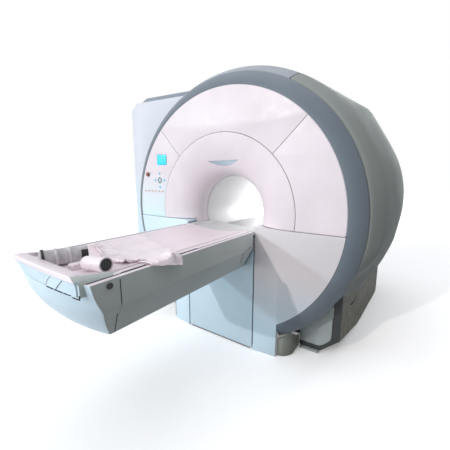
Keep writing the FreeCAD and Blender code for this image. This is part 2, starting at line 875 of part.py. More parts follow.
def make_lift():
    post_far = rail_near + rail_size
    post_top = bridge_low - 25
    pieces = [
        box("lift_base", (-300, -neck_front, 0), (300, 285, base_plate)),
        box("lift_top", (-guide_place - guide_half, rail_near, post_top),
            (guide_place + guide_half, post_far, bridge_low)),
    ]
    for side in (-1, 1):
        middle = side * guide_place
        pieces.append(box("lift_rail", (middle - guide_half, rail_near, base_plate),
                          (middle + guide_half, post_far, post_top)))
    keep(fuse("lift_fuse", pieces), "lift_frame")

    ram_tube = prism("ram_tube", SMALL_SIDES, 42, ram_head - base_plate,
                     (0, ram_depth, base_plate))
    ram_bore = rod("ram_bore", "Z", (0, ram_depth), ram_radius + 0.05, base_plate + 8, ram_head)
    keep(cut("ram_cut", ram_tube, ram_bore), "lift_cylinder")

    rod_top = ram_head + lift_travel + 5
    rod_length = lift_travel + 25
    keep(rod("ram_rod", "Z", (0, ram_depth), ram_radius, rod_top - rod_length, rod_length),
         "lift_rod")

    carriage = new_body("carriage")
    back = carriage_near + carriage_thick
    shoe_half = 44
    pad(carriage, "Y", rectangle(-table_half, carriage_low, table_half, carriage_top),
        carriage_near, carriage_thick)
    for side in (-1, 1):
        middle = side * guide_place
        pad(carriage, "Y", rectangle(middle - shoe_half, carriage_low + 20, middle + shoe_half,
                                     carriage_top - 20), back, rail_near - back - 0.05)
    pad(carriage, "Z", rectangle(-60, back, 60, ram_depth + 50), rod_top, panel)

    # Two arms pass through the neck's slits to a plate that closes the beam's end.
    arm_half = 3
    plate_thick = 12
    beam_plate = plate_thick - beam_head
    for side in (-1, 1):
        middle = side * (table_half - arm_half)
        pad(carriage, "Y", rectangle(middle - arm_half, table_crease, middle + arm_half,
                                     carriage_top), beam_plate, carriage_near - beam_plate)
    plate_low = 705
    plate_low_half = table_foot_half + 14
    pad(carriage, "Y", [
        (table_half, carriage_top), (-table_half, carriage_top), (-table_half, table_crease),
        (-plate_low_half, plate_low), (plate_low_half, plate_low), (table_half, table_crease)],
        -beam_head, plate_thick)
    keep(carriage, "lift_carriage")


# ---------------------------------------------------------------- table beam

def beam_outline():
    return [(table_half, table_top), (-table_half, table_top), (-table_half, table_crease),
            (-table_foot_half, table_bottom), (table_foot_half, table_bottom),
            (table_half, table_crease)]


head_cover_length = 110
belt_height = 860
belt_radius = 20
axle_radius = 6
drive_place = -1165
idler_place = -68


def make_beam():
    wall = beam_wall
    beam = new_body("beam")
    inner_half = table_half - wall
    floor = table_bottom + wall
    inner_foot = table_foot_half - 6
    rib_in = 190
    rib_out = 215
    rib_top = board_height(rib_in) - board_thick - 0.5
    pad(beam, "Y", [
        (table_half, table_top), (lip_inner, table_top), (lip_inner, table_top - wall),
        (inner_half, table_top - wall), (inner_half, table_crease + 3), (inner_foot, floor),
        (rib_out, floor), (rib_out, rib_top), (rib_in, rib_top), (rib_in, floor),
        (-rib_in, floor), (-rib_in, rib_top), (-rib_out, rib_top), (-rib_out, floor),
        (-inner_foot, floor), (-inner_half, table_crease + 3), (-inner_half, table_top - wall),
        (-lip_inner, table_top - wall), (-lip_inner, table_top), (-table_half, table_top),
        (-table_half, table_crease), (-table_foot_half, table_bottom),
        (table_foot_half, table_bottom), (table_half, table_crease)],
        -beam_foot, beam_foot - beam_head)
    ear_half = 14
    ear_thick = 12
    for x in (-30, 30 - ear_thick):
        pad(beam, "Y", rectangle(x, floor - 1, x + ear_thick, belt_height + ear_half),
            idler_place - ear_half, 2 * ear_half)
    axle = rod("idler_axle", "X", (idler_place, belt_height), axle_radius, -25, 50)

    # A thin cover wraps the beam at the neck, so the beam is that much slimmer there.
    reach = 400
    cover_start = -beam_head - head_cover_length
    notch = box("head_notch", (-reach, cover_start, 0), (reach, 0, table_crease + 8))
    skin = new_body("beam_skin")
    inset = 3
    pad(skin, "Y", beam_outline(), -beam_foot, beam_foot)
    inside = table_half - inset
    inside_foot = table_foot_half - 1
    pocket(skin, "Y", [
        (inside, table_top + 5), (-inside, table_top + 5), (-inside, table_crease + 1),
        (-inside_foot, table_bottom + inset), (inside_foot, table_bottom + inset),
        (inside, table_crease + 1)], -beam_foot - 5, beam_foot + 10)
    notch_skin = common("notch_skin", skin, notch)
    keep(cut("beam_cut", fuse("beam_fuse", [beam, axle]), notch_skin), "table_beam")

    margin = box("head_cover_box", (-reach, cover_start + gap, 0),
                 (reach, -beam_head, table_crease + 6))
    keep(common("head_cover", skin, margin), "beam_head_cover")


def make_end_cover():
    """The foot end: the beam's outline, closed by a crowned face that leans out at the top."""
    crown_centre = 299
    shape = new_body("end_outline")
    pad(shape, "Y", beam_outline(), -1320, 1320 - beam_foot)
    crown = new_body("end_crown")
    crown.Placement = Placement(Vector(0, crown_centre, 0), Rotation(Vector(1, 0, 0), 90))
    heights = [(960, 1592), (900, 1584), (837, 1558), (682, 1482)]
    line = [(radius, height) for height, radius in heights]
    turned(crown, [(0, 682), (0, 960)] + line, 135, 90)
    blunt = common("end_blunt", shape, crown)
    hollow = [
        box("end_channel", (-lip_inner, -1400, board_height(0) - 22), (lip_inner, -1100, 1000)),
        box("end_hollow", (-200, -1205, 800), (200, -1100, 940)),
        box("end_tail_room", (-302, -1400, 911), (302, -board_foot + 2, 1000)),
    ]
    keep(cut("end_cut", blunt, fuse("end_hollows", hollow)), "beam_end_cover")


def make_drive():
    motor_radius = 32
    motor = fuse("motor_fuse", [
        prism("motor_case", SMALL_SIDES, motor_radius, 130, (30, drive_place, belt_height),
              (1, 0, 0)),
        rod("motor_shaft", "X", (drive_place, belt_height), axle_radius, -16, 60),
        box("motor_stand", (60, -beam_foot + 1, table_bottom + beam_wall),
            (120, -beam_foot + 20, belt_height)),
    ])
    keep(motor, "drive_motor")
    belt = new_body("belt")
    outer = belt_radius + 2
    loops = []
    for radius in (outer, belt_radius):
        loops.append([
            (drive_place, belt_height - radius), (idler_place, belt_height - radius, radius),
            (idler_place + radius, belt_height, radius), (idler_place, belt_height + radius),
            (drive_place, belt_height + radius, radius),
            (drive_place - radius, belt_height, radius)])
    pad(belt, "X", loops[0], -12, 24, [loops[1]])
    keep(belt, "drive_belt")
    for name, place in (("drive_pulley", drive_place), ("idler_pulley", idler_place)):
        wheel = new_body(name + "_wheel")
        centre = (place, belt_height)
        pad(wheel, "X", polygon(belt_radius - 0.1, SMALL_SIDES, 0, centre), -14, 28,
            [polygon(axle_radius + 0.4, STEM_SIDES, 0, centre)])
        keep(wheel, name)


# ---------------------------------------------------------------- tabletop and what lies on it

def make_tabletop():
    board = new_body("board")
    edge = board_height(board_half)
    pad(board, "Y", [
        (board_half, edge, -board_arc), (-board_half, edge),
        (-board_half, edge - board_thick, board_arc + board_thick), (board_half, edge - board_thick)],
        -board_foot, board_foot - board_head)
    lug_place = drive_place + 8
    pad(board, "Z", rectangle(-10, lug_place - 6, 10, lug_place + 6), belt_height + belt_radius + 3,
        board_centre - board_thick - belt_height - belt_radius + 1)
    keep(board, "tabletop")

    low = table_top
    profile = new_body("tray_profile")
    pad(profile, "X", [
        (-1072, low), (-1072, low + 1), (-1161, low + 18), (-1276, low + 49, 20),
        (-1298, low + 27), (-1304, low), (-1304, 913), (-board_foot, 913), (-board_foot, low)],
        -table_half, table_half * 2)
    plan = new_body("tray_plan")
    bow = 5516
    pad(plan, "Z", [
        (table_half, -1060), (-table_half, -1060), (-table_half, -1294, bow),
        (table_half, -1294)], 900, 150)
    side_room = [
        box("tray_left_room", (-400, -1400, 900), (-300, -1000, low)),
        box("tray_right_room", (300, -1400, 900), (400, -1000, low)),
        box("tray_inside", (-297, -board_foot, 900), (297, -1000, 1100)),
    ]
    tray = cut("tray_cut", common("tray_common", profile, plan), fuse("tray_room", side_room))
    keep(tray, "tail_tray")

    latch = new_body("tail_plate_outline")
    pad(latch, "Y", [(62, 915), (292, 915), (292, 950, 24), (268, 974), (80, 974)], -1309, 10)
    keep(cut("tail_plate_cut", latch, plan), "tail_plate")


def make_accessories():
    cloth = new_body("cloth")
    half = 250
    lift = 0.3
    thick = 4
    pad(cloth, "Y", [
        (half, board_height(half) + lift + thick, -board_arc),
        (-half, board_height(half) + lift + thick),
        (-half, board_height(half) + lift, board_arc), (half, board_height(half) + lift)],
        -990, 640)
    keep(cloth, "bed_sheet")

    keep(prism("roll", SMALL_SIDES, 44, 198, (-85, -1250, 983.1), (55, 190, -2.5)), "mat_roll")
    keep(prism("bottle", SMALL_SIDES, 33, 160, (92, -1147, 974.2), (158, 2, 20)),
         "phantom_bottle")
    block_right = 52
    keep(box("contact", (8, -1185, board_height(block_right) + 0.2), (block_right, -1112, 963)),
         "contact_box")


make_magnet()
make_funnel()
make_face_covers()
make_controls()
make_lower_covers()
make_ring()
make_barrel()
make_base()
make_rear()
make_frames()
make_wing()
make_bridge()
make_lift()
make_beam()
make_end_cover()
make_drive()
make_tabletop()
make_accessories()

doc.recompute()
for item in doc.Objects:
    if "Invalid" in item.State or "Error" in item.State:
        raise RuntimeError("%s has failed: %s" % (item.Name, item.State))
os.makedirs("parts", exist_ok=True)
for item in parts:
    if item.Shape.isNull() or not item.Shape.isValid():
        raise RuntimeError("%s has no valid shape" % item.Label)
    item.Shape.exportStep("parts/%s.step" % item.Label)
print("%d pieces" % len(parts))
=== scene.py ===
"""Closed-bore MRI scanner with its patient table: covers, table, controls and studio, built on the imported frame."""
import json
import math

import bmesh
import bpy
from bpy.props import FloatProperty, FloatVectorProperty, IntProperty, PointerProperty
from mathutils import Matrix, Vector, noise

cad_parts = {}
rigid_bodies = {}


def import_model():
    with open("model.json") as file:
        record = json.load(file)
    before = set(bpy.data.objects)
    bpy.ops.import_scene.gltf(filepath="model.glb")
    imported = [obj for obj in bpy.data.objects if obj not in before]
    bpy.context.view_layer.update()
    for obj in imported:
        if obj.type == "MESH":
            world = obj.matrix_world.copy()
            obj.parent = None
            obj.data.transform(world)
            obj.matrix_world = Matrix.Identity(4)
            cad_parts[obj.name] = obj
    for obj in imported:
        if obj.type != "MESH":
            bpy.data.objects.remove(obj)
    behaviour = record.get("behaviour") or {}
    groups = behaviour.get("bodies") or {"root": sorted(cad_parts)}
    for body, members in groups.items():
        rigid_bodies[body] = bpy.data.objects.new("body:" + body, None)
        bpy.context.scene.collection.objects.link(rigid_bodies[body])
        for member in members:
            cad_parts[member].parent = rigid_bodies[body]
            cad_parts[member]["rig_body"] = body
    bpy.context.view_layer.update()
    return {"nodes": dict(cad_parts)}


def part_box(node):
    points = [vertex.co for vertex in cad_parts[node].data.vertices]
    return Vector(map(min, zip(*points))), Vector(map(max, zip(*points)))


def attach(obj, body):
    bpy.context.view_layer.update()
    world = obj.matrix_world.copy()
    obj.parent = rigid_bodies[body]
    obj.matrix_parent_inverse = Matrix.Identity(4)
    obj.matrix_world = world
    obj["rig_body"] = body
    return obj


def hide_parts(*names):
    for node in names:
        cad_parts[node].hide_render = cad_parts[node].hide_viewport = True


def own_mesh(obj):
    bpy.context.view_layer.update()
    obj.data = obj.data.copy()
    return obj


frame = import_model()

bl_info = {
    "name": "MRI scanner",
    "version": (1, 0, 0),
    "blender": (4, 5, 0),
    "location": "View3D > Sidebar > Scanner",
    "description": "Builds the covers, table, controls and studio of a closed-bore MRI scanner",
    "category": "Add Mesh",
}

NODES = frame["nodes"]
AXIS_HEIGHT = 1.0675
THROAT_RADIUS, THROAT_DEPTH = 0.307, 0.232
LINER_END = 1.898
COVER_THICK = 0.020
BARREL_SHELL = 0.015
TABLE_HALF, BEAM_LOW_HALF = 0.3325, 0.249
BEAM_LOW, SIDE_FOLD = 0.682, 0.835
TRAY_HALF, TRAY_LOW, TRAY_BOW = 0.300, 0.912, 0.014
BOARD_LOW, BOARD_ARC = 0.936, 1.293


def metres(name, description, value, low, high):
    """A length property in metres with its default and limits."""
    return FloatProperty(name=name, description=description, default=value, min=low, max=high,
                         subtype="DISTANCE", unit="LENGTH")


class ScannerSizes(bpy.types.PropertyGroup):
    """Sizes a user may want to change."""

    seam_gap: metres("Seam gap", "Width of the open joint between two front covers", 0.003, 0.001, 0.01)
    cover_edge: metres("Cover edge", "Rounding of the front covers' edges", 0.003, 0.0005, 0.008)
    ring_edge: metres("Ring edge", "Rounding of the trim ring's rims", 0.006, 0.001, 0.02)
    key_pitch: metres("Key pitch", "Distance between the small keys of the strip", 0.048, 0.03, 0.06)
    key_count: IntProperty(
        name="Keys", description="Number of small keys on the strip", default=6, min=1, max=8)
    vent_count: IntProperty(
        name="Vent slats", description="Number of slats in each vent of the rear cover",
        default=14, min=4, max=30)
    roll_turns: FloatProperty(
        name="Roll turns", description="Number of turns in the rolled mat", default=4.5, min=2.0, max=8.0)
    sheet_rumple: metres("Sheet rumple", "Height of the folds in the crumpled sheet", 0.022, 0.0, 0.05)


def colour(name, description, value):
    """A colour property with its default."""
    return FloatVectorProperty(
        name=name, description=description, default=value, size=3, min=0.0, max=1.0, subtype="COLOR")


class ScannerColours(bpy.types.PropertyGroup):
    """Colours a user may want to change."""

    face_white: colour("Face white", "Warm white of the round face and funnel", (0.825, 0.755, 0.800))
    lower_blue: colour("Lower white", "Cool white of the lower covers and table foot", (0.610, 0.765, 0.865))
    wing_white: colour("Wing white", "White of the side cabinet", (0.715, 0.750, 0.825))
    ring_grey: colour("Ring grey", "Grey of the trim ring", (0.168, 0.204, 0.240))
    # Barrel grey is partly painted shade: a mid grey, darker than the covers' light grey, for sides that lie in
    # shade.
    barrel_grey: colour("Barrel grey", "Grey of the barrel covers", (0.335, 0.368, 0.354))
    # Skirt grey is painted shade: near-black for base covers whose sides lie in shade.
    skirt_grey: colour("Skirt grey", "Dark grey of the base covers", (0.080, 0.084, 0.062))
    # Quarter white is painted shade: a greyer copy of the face white for the lower right cover, on the side where the
    # light falls off.
    quarter_white_painted_shade: colour("Quarter white", "Shaded white of the lower right cover", (0.735, 0.705, 0.730))
    table_grey: colour("Table grey", "Grey paint of the table beam", (0.640, 0.700, 0.680))
    board_white: colour("Board white", "White of the tabletop", (0.900, 0.785, 0.830))
    screen_cyan: colour("Screen blue", "Lit field of the display", (0.010, 0.560, 0.900))
    stop_red: colour("Stop red", "Red of the stop button", (0.300, 0.050, 0.012))


# ---------------------------------------------------------------- materials


class Recipe:
    """A node material under construction."""

    def __init__(self, name):
        self.material = bpy.data.materials.new(name)
        self.material.use_nodes = True
        self.nodes = self.material.node_tree.nodes
        self.links = self.material.node_tree.links
        self.shader = self.nodes["Principled BSDF"]

    def set(self, **values):
        for key, value in values.items():
            socket = self.shader.inputs[key.replace("_", " ")]
            socket.default_value = (*value, 1.0) if isinstance(value, tuple) else value

    def coordinates(self, scale=(1.0, 1.0, 1.0), output="Object"):
        source = self.nodes.new("ShaderNodeTexCoord")
        mapping = self.nodes.new("ShaderNodeMapping")
        mapping.inputs["Scale"].default_value = scale
        self.links.new(source.outputs[output], mapping.inputs["Vector"])
        return mapping.outputs["Vector"]

    def noise(self, scale, detail=2.0, stretch=(1.0, 1.0, 1.0), output="Object"):
        texture = self.nodes.new("ShaderNodeTexNoise")
        texture.inputs["Scale"].default_value = scale
        texture.inputs["Detail"].default_value = detail
        self.links.new(self.coordinates(stretch, output), texture.inputs["Vector"])
        return texture.outputs["Fac"]

    def range(self, value, low, high, start=0.35, end=0.65):
        node = self.nodes.new("ShaderNodeMapRange")
        node.inputs["From Min"].default_value = start
        node.inputs["From Max"].default_value = end
        node.inputs["To Min"].default_value = low
        node.inputs["To Max"].default_value = high
        self.links.new(value, node.inputs["Value"])
        return node.outputs["Result"]

    def mix(self, factor, first, second):
        node = self.nodes.new("ShaderNodeMix")
        node.data_type = "RGBA"
        for socket, value in (("A", first), ("B", second)):
            target = [s for s in node.inputs if s.name == socket and s.type == "RGBA"][0]
            if isinstance(value, tuple):
                target.default_value = (*value, 1.0)
            else:
                self.links.new(value, target)
        self.links.new(factor, node.inputs["Factor"])
        return [s for s in node.outputs if s.type == "RGBA"][0]

    def math(self, operation, first, second=0.0):
        node = self.nodes.new("ShaderNodeMath")
        node.operation = operation
        for socket, value in zip(node.inputs, (first, second)):
            if isinstance(value, (int, float)):
                socket.default_value = value
            else:
                self.links.new(value, socket)
        return node.outputs["Value"]

    def place(self):
        """The X and Z of the shaded point."""
        split = self.nodes.new("ShaderNodeSeparateXYZ")
        self.links.new(self.coordinates(), split.inputs["Vector"])
        return split.outputs["X"], split.outputs["Z"]

    def near(self, value, middle, reach):
        """One where the value lies within reach of the middle."""
        return self.math("LESS_THAN", self.math("ABSOLUTE", self.math("SUBTRACT", value, middle)), reach)

    def lines(self, value, count, share):
        """One on evenly spaced lines that each take a share of their step."""
        return self.math("LESS_THAN", self.math("FRACT", self.math("MULTIPLY", value, count)), share)

    def base(self, socket):
        self.links.new(socket, self.shader.inputs["Base Color"])

    def roughness(self, socket):
        self.links.new(socket, self.shader.inputs["Roughness"])

    def bump(self, height, strength, distance):
        node = self.nodes.new("ShaderNodeBump")
        node.inputs["Strength"].default_value = strength
        node.inputs["Distance"].default_value = distance
        self.links.new(height, node.inputs["Height"])
        self.links.new(node.outputs["Normal"], self.shader.inputs["Normal"])


def shaded(colour_value, factor):
    """The same colour, lighter or darker."""
    return tuple(min(1.0, channel * factor) for channel in colour_value)


def moulded(name, colour_value, rough=0.42, grain=900.0, depth=0.12, cloud=0.04, coat=0.0, gloss=0.4):
    """Painted or moulded panel: fine orange peel, faint clouding and uneven polish."""
    recipe = Recipe(name)
    recipe.set(Specular_IOR_Level=gloss, Coat_Weight=coat, Coat_Roughness=0.2)
    clouds = recipe.range(recipe.noise(2.6, 3.0), 0.0, 1.0)
    recipe.base(recipe.mix(clouds, shaded(colour_value, 1.0 - cloud), shaded(colour_value, 1.0 + cloud)))
    recipe.roughness(recipe.range(recipe.noise(14.0, 4.0), rough - 0.06, rough + 0.06))
    recipe.bump(recipe.noise(grain, 1.0), depth, 0.0004)
    return recipe.material


def cooled_by_painted_light(name, low_colour, high_colour, bottom, top, rough=0.42):
    """Moulded cover whose white turns cooler towards the floor: painted light, standing in for the cool light that
    falls on its lower part.
    """
    recipe = Recipe(name)
    recipe.set(Specular_IOR_Level=0.35)
    share = recipe.range(recipe.place()[1], 0.0, 1.0, bottom, top)
    recipe.base(recipe.mix(share, low_colour, high_colour))
    recipe.roughness(recipe.range(recipe.noise(14.0, 4.0), rough - 0.06, rough + 0.06))
    recipe.bump(recipe.noise(900.0, 1.0), 0.12, 0.0004)
    return recipe.material


def brushed(name, colour_value, rough=0.3, stretch=(1.0, 40.0, 40.0), metallic=1.0):
    """Machined or brushed metal with fine parallel scratches."""
    recipe = Recipe(name)
    recipe.set(Metallic=metallic)
    scratches = recipe.noise(30.0, 4.0, stretch)
    recipe.base(recipe.mix(recipe.range(scratches, 0.0, 1.0), shaded(colour_value, 0.82), shaded(colour_value, 1.1)))
    recipe.roughness(recipe.range(scratches, rough - 0.08, rough + 0.12))
    recipe.bump(scratches, 0.1, 0.0003)
    return recipe.material


def woven(name, colour_value, pitch=0.0016, sheen=0.25):
    """Plain weave cotton: two crossing sets of threads and soft creases."""
    recipe = Recipe(name)
    recipe.set(Roughness=0.85, Sheen_Weight=sheen, Sheen_Roughness=0.5)
    threads = []
    for axis in ("X", "Y"):
        wave = recipe.nodes.new("ShaderNodeTexWave")
        wave.bands_direction = axis
        wave.inputs["Scale"].default_value = 0.314 / pitch
        wave.inputs["Distortion"].default_value = 0.6
        wave.inputs["Detail"].default_value = 1.0
        recipe.links.new(recipe.coordinates(output="UV"), wave.inputs["Vector"])
        threads.append(wave.outputs["Fac"])
    weave = recipe.math("MULTIPLY", threads[0], threads[1])
    tone = recipe.range(recipe.noise(9.0, 4.0), 0.0, 1.0)
    recipe.base(recipe.mix(tone, shaded(colour_value, 0.95), shaded(colour_value, 1.03)))
    recipe.bump(weave, 0.35, 0.0005)
    return recipe.material


def foam(name, colour_value, cell=900.0):
    """Closed-cell foam mat with a fine pebbled skin."""
    recipe = Recipe(name)
    recipe.set(Roughness=0.88)
    cells = recipe.nodes.new("ShaderNodeTexVoronoi")
    cells.inputs["Scale"].default_value = cell
    recipe.links.new(recipe.coordinates(), cells.inputs["Vector"])
    tone = recipe.range(recipe.noise(40.0, 5.0), 0.0, 1.0)
    recipe.base(recipe.mix(tone, shaded(colour_value, 0.86), shaded(colour_value, 1.1)))
    recipe.bump(cells.outputs["Distance"], 0.5, 0.0008)
    return recipe.material


def lit_screen(name, field, corner, size):
    """Display glass with a lit field, a row of soft keys and thin rules on it."""
    recipe = Recipe(name)
    recipe.set(Roughness=0.16, Coat_Weight=0.4, Coat_Roughness=0.08)
    across, upward = (recipe.math("DIVIDE", recipe.math("SUBTRACT", value, start), length)
                      for value, start, length in zip(recipe.place(), corner, size))
    inside = recipe.math("MULTIPLY", recipe.near(across, 0.5, 0.488), recipe.near(upward, 0.5, 0.488))
    rules = recipe.lines(upward, 5.0, 0.05)
    keys = recipe.lines(across, 4.0, 0.06)
    lines = recipe.math("MULTIPLY", recipe.math("MAXIMUM", rules, keys), 0.12)
    lit = recipe.mix(lines, field, shaded(field, 0.55))
    picture = recipe.mix(inside, (0.012, 0.016, 0.020), lit)
    recipe.base(picture)
    recipe.links.new(picture, recipe.shader.inputs["Emission Color"])
    recipe.shader.inputs["Emission Strength"].default_value = 0.45
    return recipe.material


def dial(name, colour_value, ring, middle, radius):
    """Round key plate with a darker printed ring, split into four quarters."""
    recipe = Recipe(name)
    recipe.set(Specular_IOR_Level=0.3)
    across, upward = (recipe.math("SUBTRACT", value, centre) for value, centre in zip(recipe.place(), middle))
    squares = [recipe.math("MULTIPLY", value, value) for value in (across, upward)]
    band = recipe.near(recipe.math("SQRT", recipe.math("ADD", *squares)), 0.72 * radius, 0.17 * radius)
    lengths = [recipe.math("ABSOLUTE", value) for value in (across, upward)]
    off_diagonal = recipe.math("ABSOLUTE", recipe.math("SUBTRACT", *lengths))
    quarter = recipe.math("GREATER_THAN", off_diagonal, 0.16 * radius)
    recipe.base(recipe.mix(recipe.math("MULTIPLY", band, quarter), colour_value, ring))
    recipe.roughness(recipe.range(recipe.noise(60.0), 0.4, 0.5))
    return recipe.material


def tinted_window(name, colour_value):
    """Pale acrylic window over the positioning light."""
    recipe = Recipe(name)
    recipe.set(Coat_Weight=0.6, Coat_Roughness=0.05)
    bands = recipe.range(recipe.noise(6.0, 2.0), 0.0, 1.0)
    recipe.base(recipe.mix(bands, shaded(colour_value, 0.9), shaded(colour_value, 1.08)))
    recipe.roughness(recipe.range(recipe.noise(60.0), 0.08, 0.16))
    return recipe.material


FINISHES = {}


def mix_finishes(colours):
    """Every finish of the scanner, by name."""
    face = tuple(colours.face_white)
    lower = tuple(colours.lower_blue)
    FINISHES.update({
        "face": moulded("moulded face cover", face, 0.40),
        # The side cover, quarter cover and cabinet carry painted light: their white turns cooler lower down, standing
        # in for the cool light on their lower parts.
        "flank": cooled_by_painted_light("side cover with painted cool light", shaded(lower, 1.22), face, 1.00, 1.42, 0.40),
        "lower": moulded("moulded lower cover", lower, 0.42),
        "quarter": cooled_by_painted_light("quarter cover with painted cool light", lower, tuple(colours.quarter_white_painted_shade), 0.22, 0.66),
        "wing": cooled_by_painted_light("cabinet with painted cool light", shaded(lower, 1.16), tuple(colours.wing_white), 0.85, 1.45, 0.45),
        "ring": moulded("satin trim ring", tuple(colours.ring_grey), 0.42, gloss=0.25),
        # The barrel grey is partly painted shade of the barrel's shaded sides.
        "barrel": moulded("barrel cover grey with painted shade", tuple(colours.barrel_grey), 0.65, gloss=0.08),
        # The top cover's grey is painted light: a lighter, bluer copy of the barrel grey for the cover that faces up.
        "crest_painted_light": moulded("top cover grey in painted light", (0.415, 0.445, 0.490), 0.60, gloss=0.10),
        # The base covers' near-black is painted shade.
        "skirt": moulded("base cover in painted shade", tuple(colours.skirt_grey), 0.55, gloss=0.2),
        "inset": moulded("painted inset panel", (0.350, 0.395, 0.400), 0.45),
        # The edge strips' near-black is painted shade: the side covers' return in the recess.
        "strip": moulded("edge strip in painted shade", (0.030, 0.035, 0.036), 0.5, grain=1500.0),
        # The foot covers' dark olive is painted shade: they stand in shade under the ring.
        "olive_painted_shade": moulded("foot cover", (0.240, 0.255, 0.225), 0.55),
        "frame": moulded("powder-coated frame", (0.22, 0.235, 0.25), 0.6, grain=500.0, depth=0.3),
        "vessel": brushed("rolled vessel steel", (0.55, 0.56, 0.57), 0.34),
        "resin": moulded("cast coil resin", (0.42, 0.34, 0.18), 0.35, grain=220.0, cloud=0.14),
        "bore": moulded("glazed bore lining", (0.700, 0.700, 0.705), 0.35, grain=1200.0),
        "ram": brushed("ram cylinder", (0.34, 0.35, 0.36), 0.4),
        "chrome": brushed("chromed rod", (0.72, 0.73, 0.75), 0.14, (60.0, 60.0, 1.0)),
        "table": moulded("table beam paint and painted side shade", tuple(colours.table_grey), 0.5, gloss=0.25),
        "motor": moulded("motor housing", (0.030, 0.031, 0.034), 0.45, grain=500.0, depth=0.3),
        "belt": moulded("belt rubber", (0.022, 0.022, 0.023), 0.8, grain=1800.0, depth=0.4),
        "pulley": brushed("turned aluminium", (0.62, 0.63, 0.64), 0.28),
        "board": moulded("tabletop laminate", tuple(colours.board_white), 0.38, coat=0.1),
        "rim": moulded("tray moulding and painted top light", (0.870, 0.790, 0.840), 0.40),
        "key": moulded("key plastic", (0.300, 0.330, 0.360), 0.5),
        "screw": moulded("cover screw", (0.600, 0.580, 0.610), 0.45),
        "cap": moulded("cabinet cap", (0.235, 0.285, 0.335), 0.6),
        "lamp": moulded("lit arrow key", (0.10, 0.55, 0.78), 0.35),
        "red": moulded("stop button plastic", tuple(colours.stop_red), 0.3, coat=0.4),
        "linen": woven("linen", (0.960, 0.860, 0.905)),
        "mat": foam("rolled foam mat", (0.680, 0.665, 0.690)),
        "strap": woven("strap webbing", (0.800, 0.780, 0.800), 0.0022, 0.1),
        "dark": moulded("joint shadow", (0.012, 0.013, 0.015), 0.7),
        "bottle": moulded("bottle plastic", (0.860, 0.790, 0.830), 0.3, coat=0.2),
        "black": moulded("black plastic", (0.018, 0.018, 0.020), 0.45),
        "steel": brushed("screw steel", (0.60, 0.61, 0.63), 0.3),
        "window": tinted_window("positioning window", (0.440, 0.560, 0.650)),
    })


# ---------------------------------------------------------------- mesh tools


def clamped(share):
    """The share kept from 0 to 1."""
    return min(1.0, max(0.0, share))


def eased(share):
    """The share on an S-curve that is level at both ends."""
    return share * share * (3.0 - 2.0 * share)


def between(knots, value, shape=float):
    """Value between knots, joined by straight lines or by another shape such as eased."""
    if value <= knots[0][0]:
        return knots[0][1]
    for (low, first), (high, last) in zip(knots, knots[1:]):
        if value <= high:
            return first + (last - first) * shape((value - low) / (high - low))
    return knots[-1][1]


def half_width(z):
    """Half width of the table at a height: upright above its fold, drawn in below."""
    if z >= SIDE_FOLD:
        return TABLE_HALF
    return BEAM_LOW_HALF + (TABLE_HALF - BEAM_LOW_HALF) * (z - BEAM_LOW) / (SIDE_FOLD - BEAM_LOW)


def polar(radius, angle, centre=(0.0, 0.0)):
    """The point at a radius and an angle round a centre."""
    return (centre[0] + radius * math.cos(angle), centre[1] + radius * math.sin(angle))


def ring_point(radius, depth, angle, centre=(0.0, AXIS_HEIGHT)):
    """The point at a radius and an elevation round an axis along Y, the bore's unless told otherwise."""
    x, z = polar(radius, angle, centre)
    return (x, depth, z)


def link(name, mesh):
    """A new object of the scene holding that mesh."""
    piece = bpy.data.objects.new(name, mesh)
    bpy.context.scene.collection.objects.link(piece)
    return piece


def tidy(mesh, merge=1e-5):
    """Merges doubles and turns the faces outwards."""
    body = bmesh.new()
    body.from_mesh(mesh)
    bmesh.ops.remove_doubles(body, verts=body.verts, dist=merge)
    bmesh.ops.recalc_face_normals(body, faces=body.faces)
    body.to_mesh(mesh)
    body.free()


def solid(name, points, faces):
    """A closed mesh piece from its points and faces."""
    mesh = bpy.data.meshes.new(name)
    mesh.from_pydata([tuple(point) for point in points], [], faces)
    tidy(mesh)
    return link(name, mesh)


def bake(piece):
    """Replaces the piece's mesh by what its modifiers make of it."""
    bpy.context.view_layer.update()
    evaluated = piece.evaluated_get(bpy.context.evaluated_depsgraph_get())
    mesh = bpy.data.meshes.new_from_object(evaluated)
    piece.modifiers.clear()
    piece.data = mesh
    return piece


def carve(piece, cutter, operation="DIFFERENCE"):
    """Cuts the piece with the cutter, which is used up."""
    modifier = piece.modifiers.new("cut", "BOOLEAN")
    modifier.operation = operation
    modifier.solver = "EXACT"
    modifier.object = cutter
    bake(piece)
    bpy.data.objects.remove(cutter)
    return piece


def soften(piece, width=0.003, steps=2, angle=30.0):
    """Rounds every edge sharper than the angle."""
    modifier = piece.modifiers.new("edge", "BEVEL")
    modifier.width = width
    modifier.segments = steps
    modifier.limit_method = "ANGLE"
    modifier.angle_limit = math.radians(angle)
    modifier.use_clamp_overlap = True
    modifier.miter_outer = "MITER_ARC"
    return bake(piece)


def smooth(piece, angle=32.0):
    """Smooth shading that stays crisp at edges sharper than the angle."""
    piece.data.shade_smooth()
    piece.data.set_sharp_from_angle(angle=math.radians(angle))
    return piece


def join(name, pieces):
    """One piece out of several."""
    body = bmesh.new()
    for piece in pieces:
        body.from_mesh(piece.data)
        bpy.data.objects.remove(piece)
    mesh = bpy.data.meshes.new(name)
    body.to_mesh(mesh)
    body.free()
    return link(name, mesh)


def block(low, high, name="cutter"):
    """A box between two corners, used to cut other pieces."""
    points = [(x, y, z) for x in (low[0], high[0]) for y in (low[1], high[1]) for z in (low[2], high[2])]
    faces = [(0, 1, 3, 2), (4, 6, 7, 5), (0, 4, 5, 1), (2, 3, 7, 6), (0, 2, 6, 4), (1, 5, 7, 3)]
    return solid(name, points, faces)


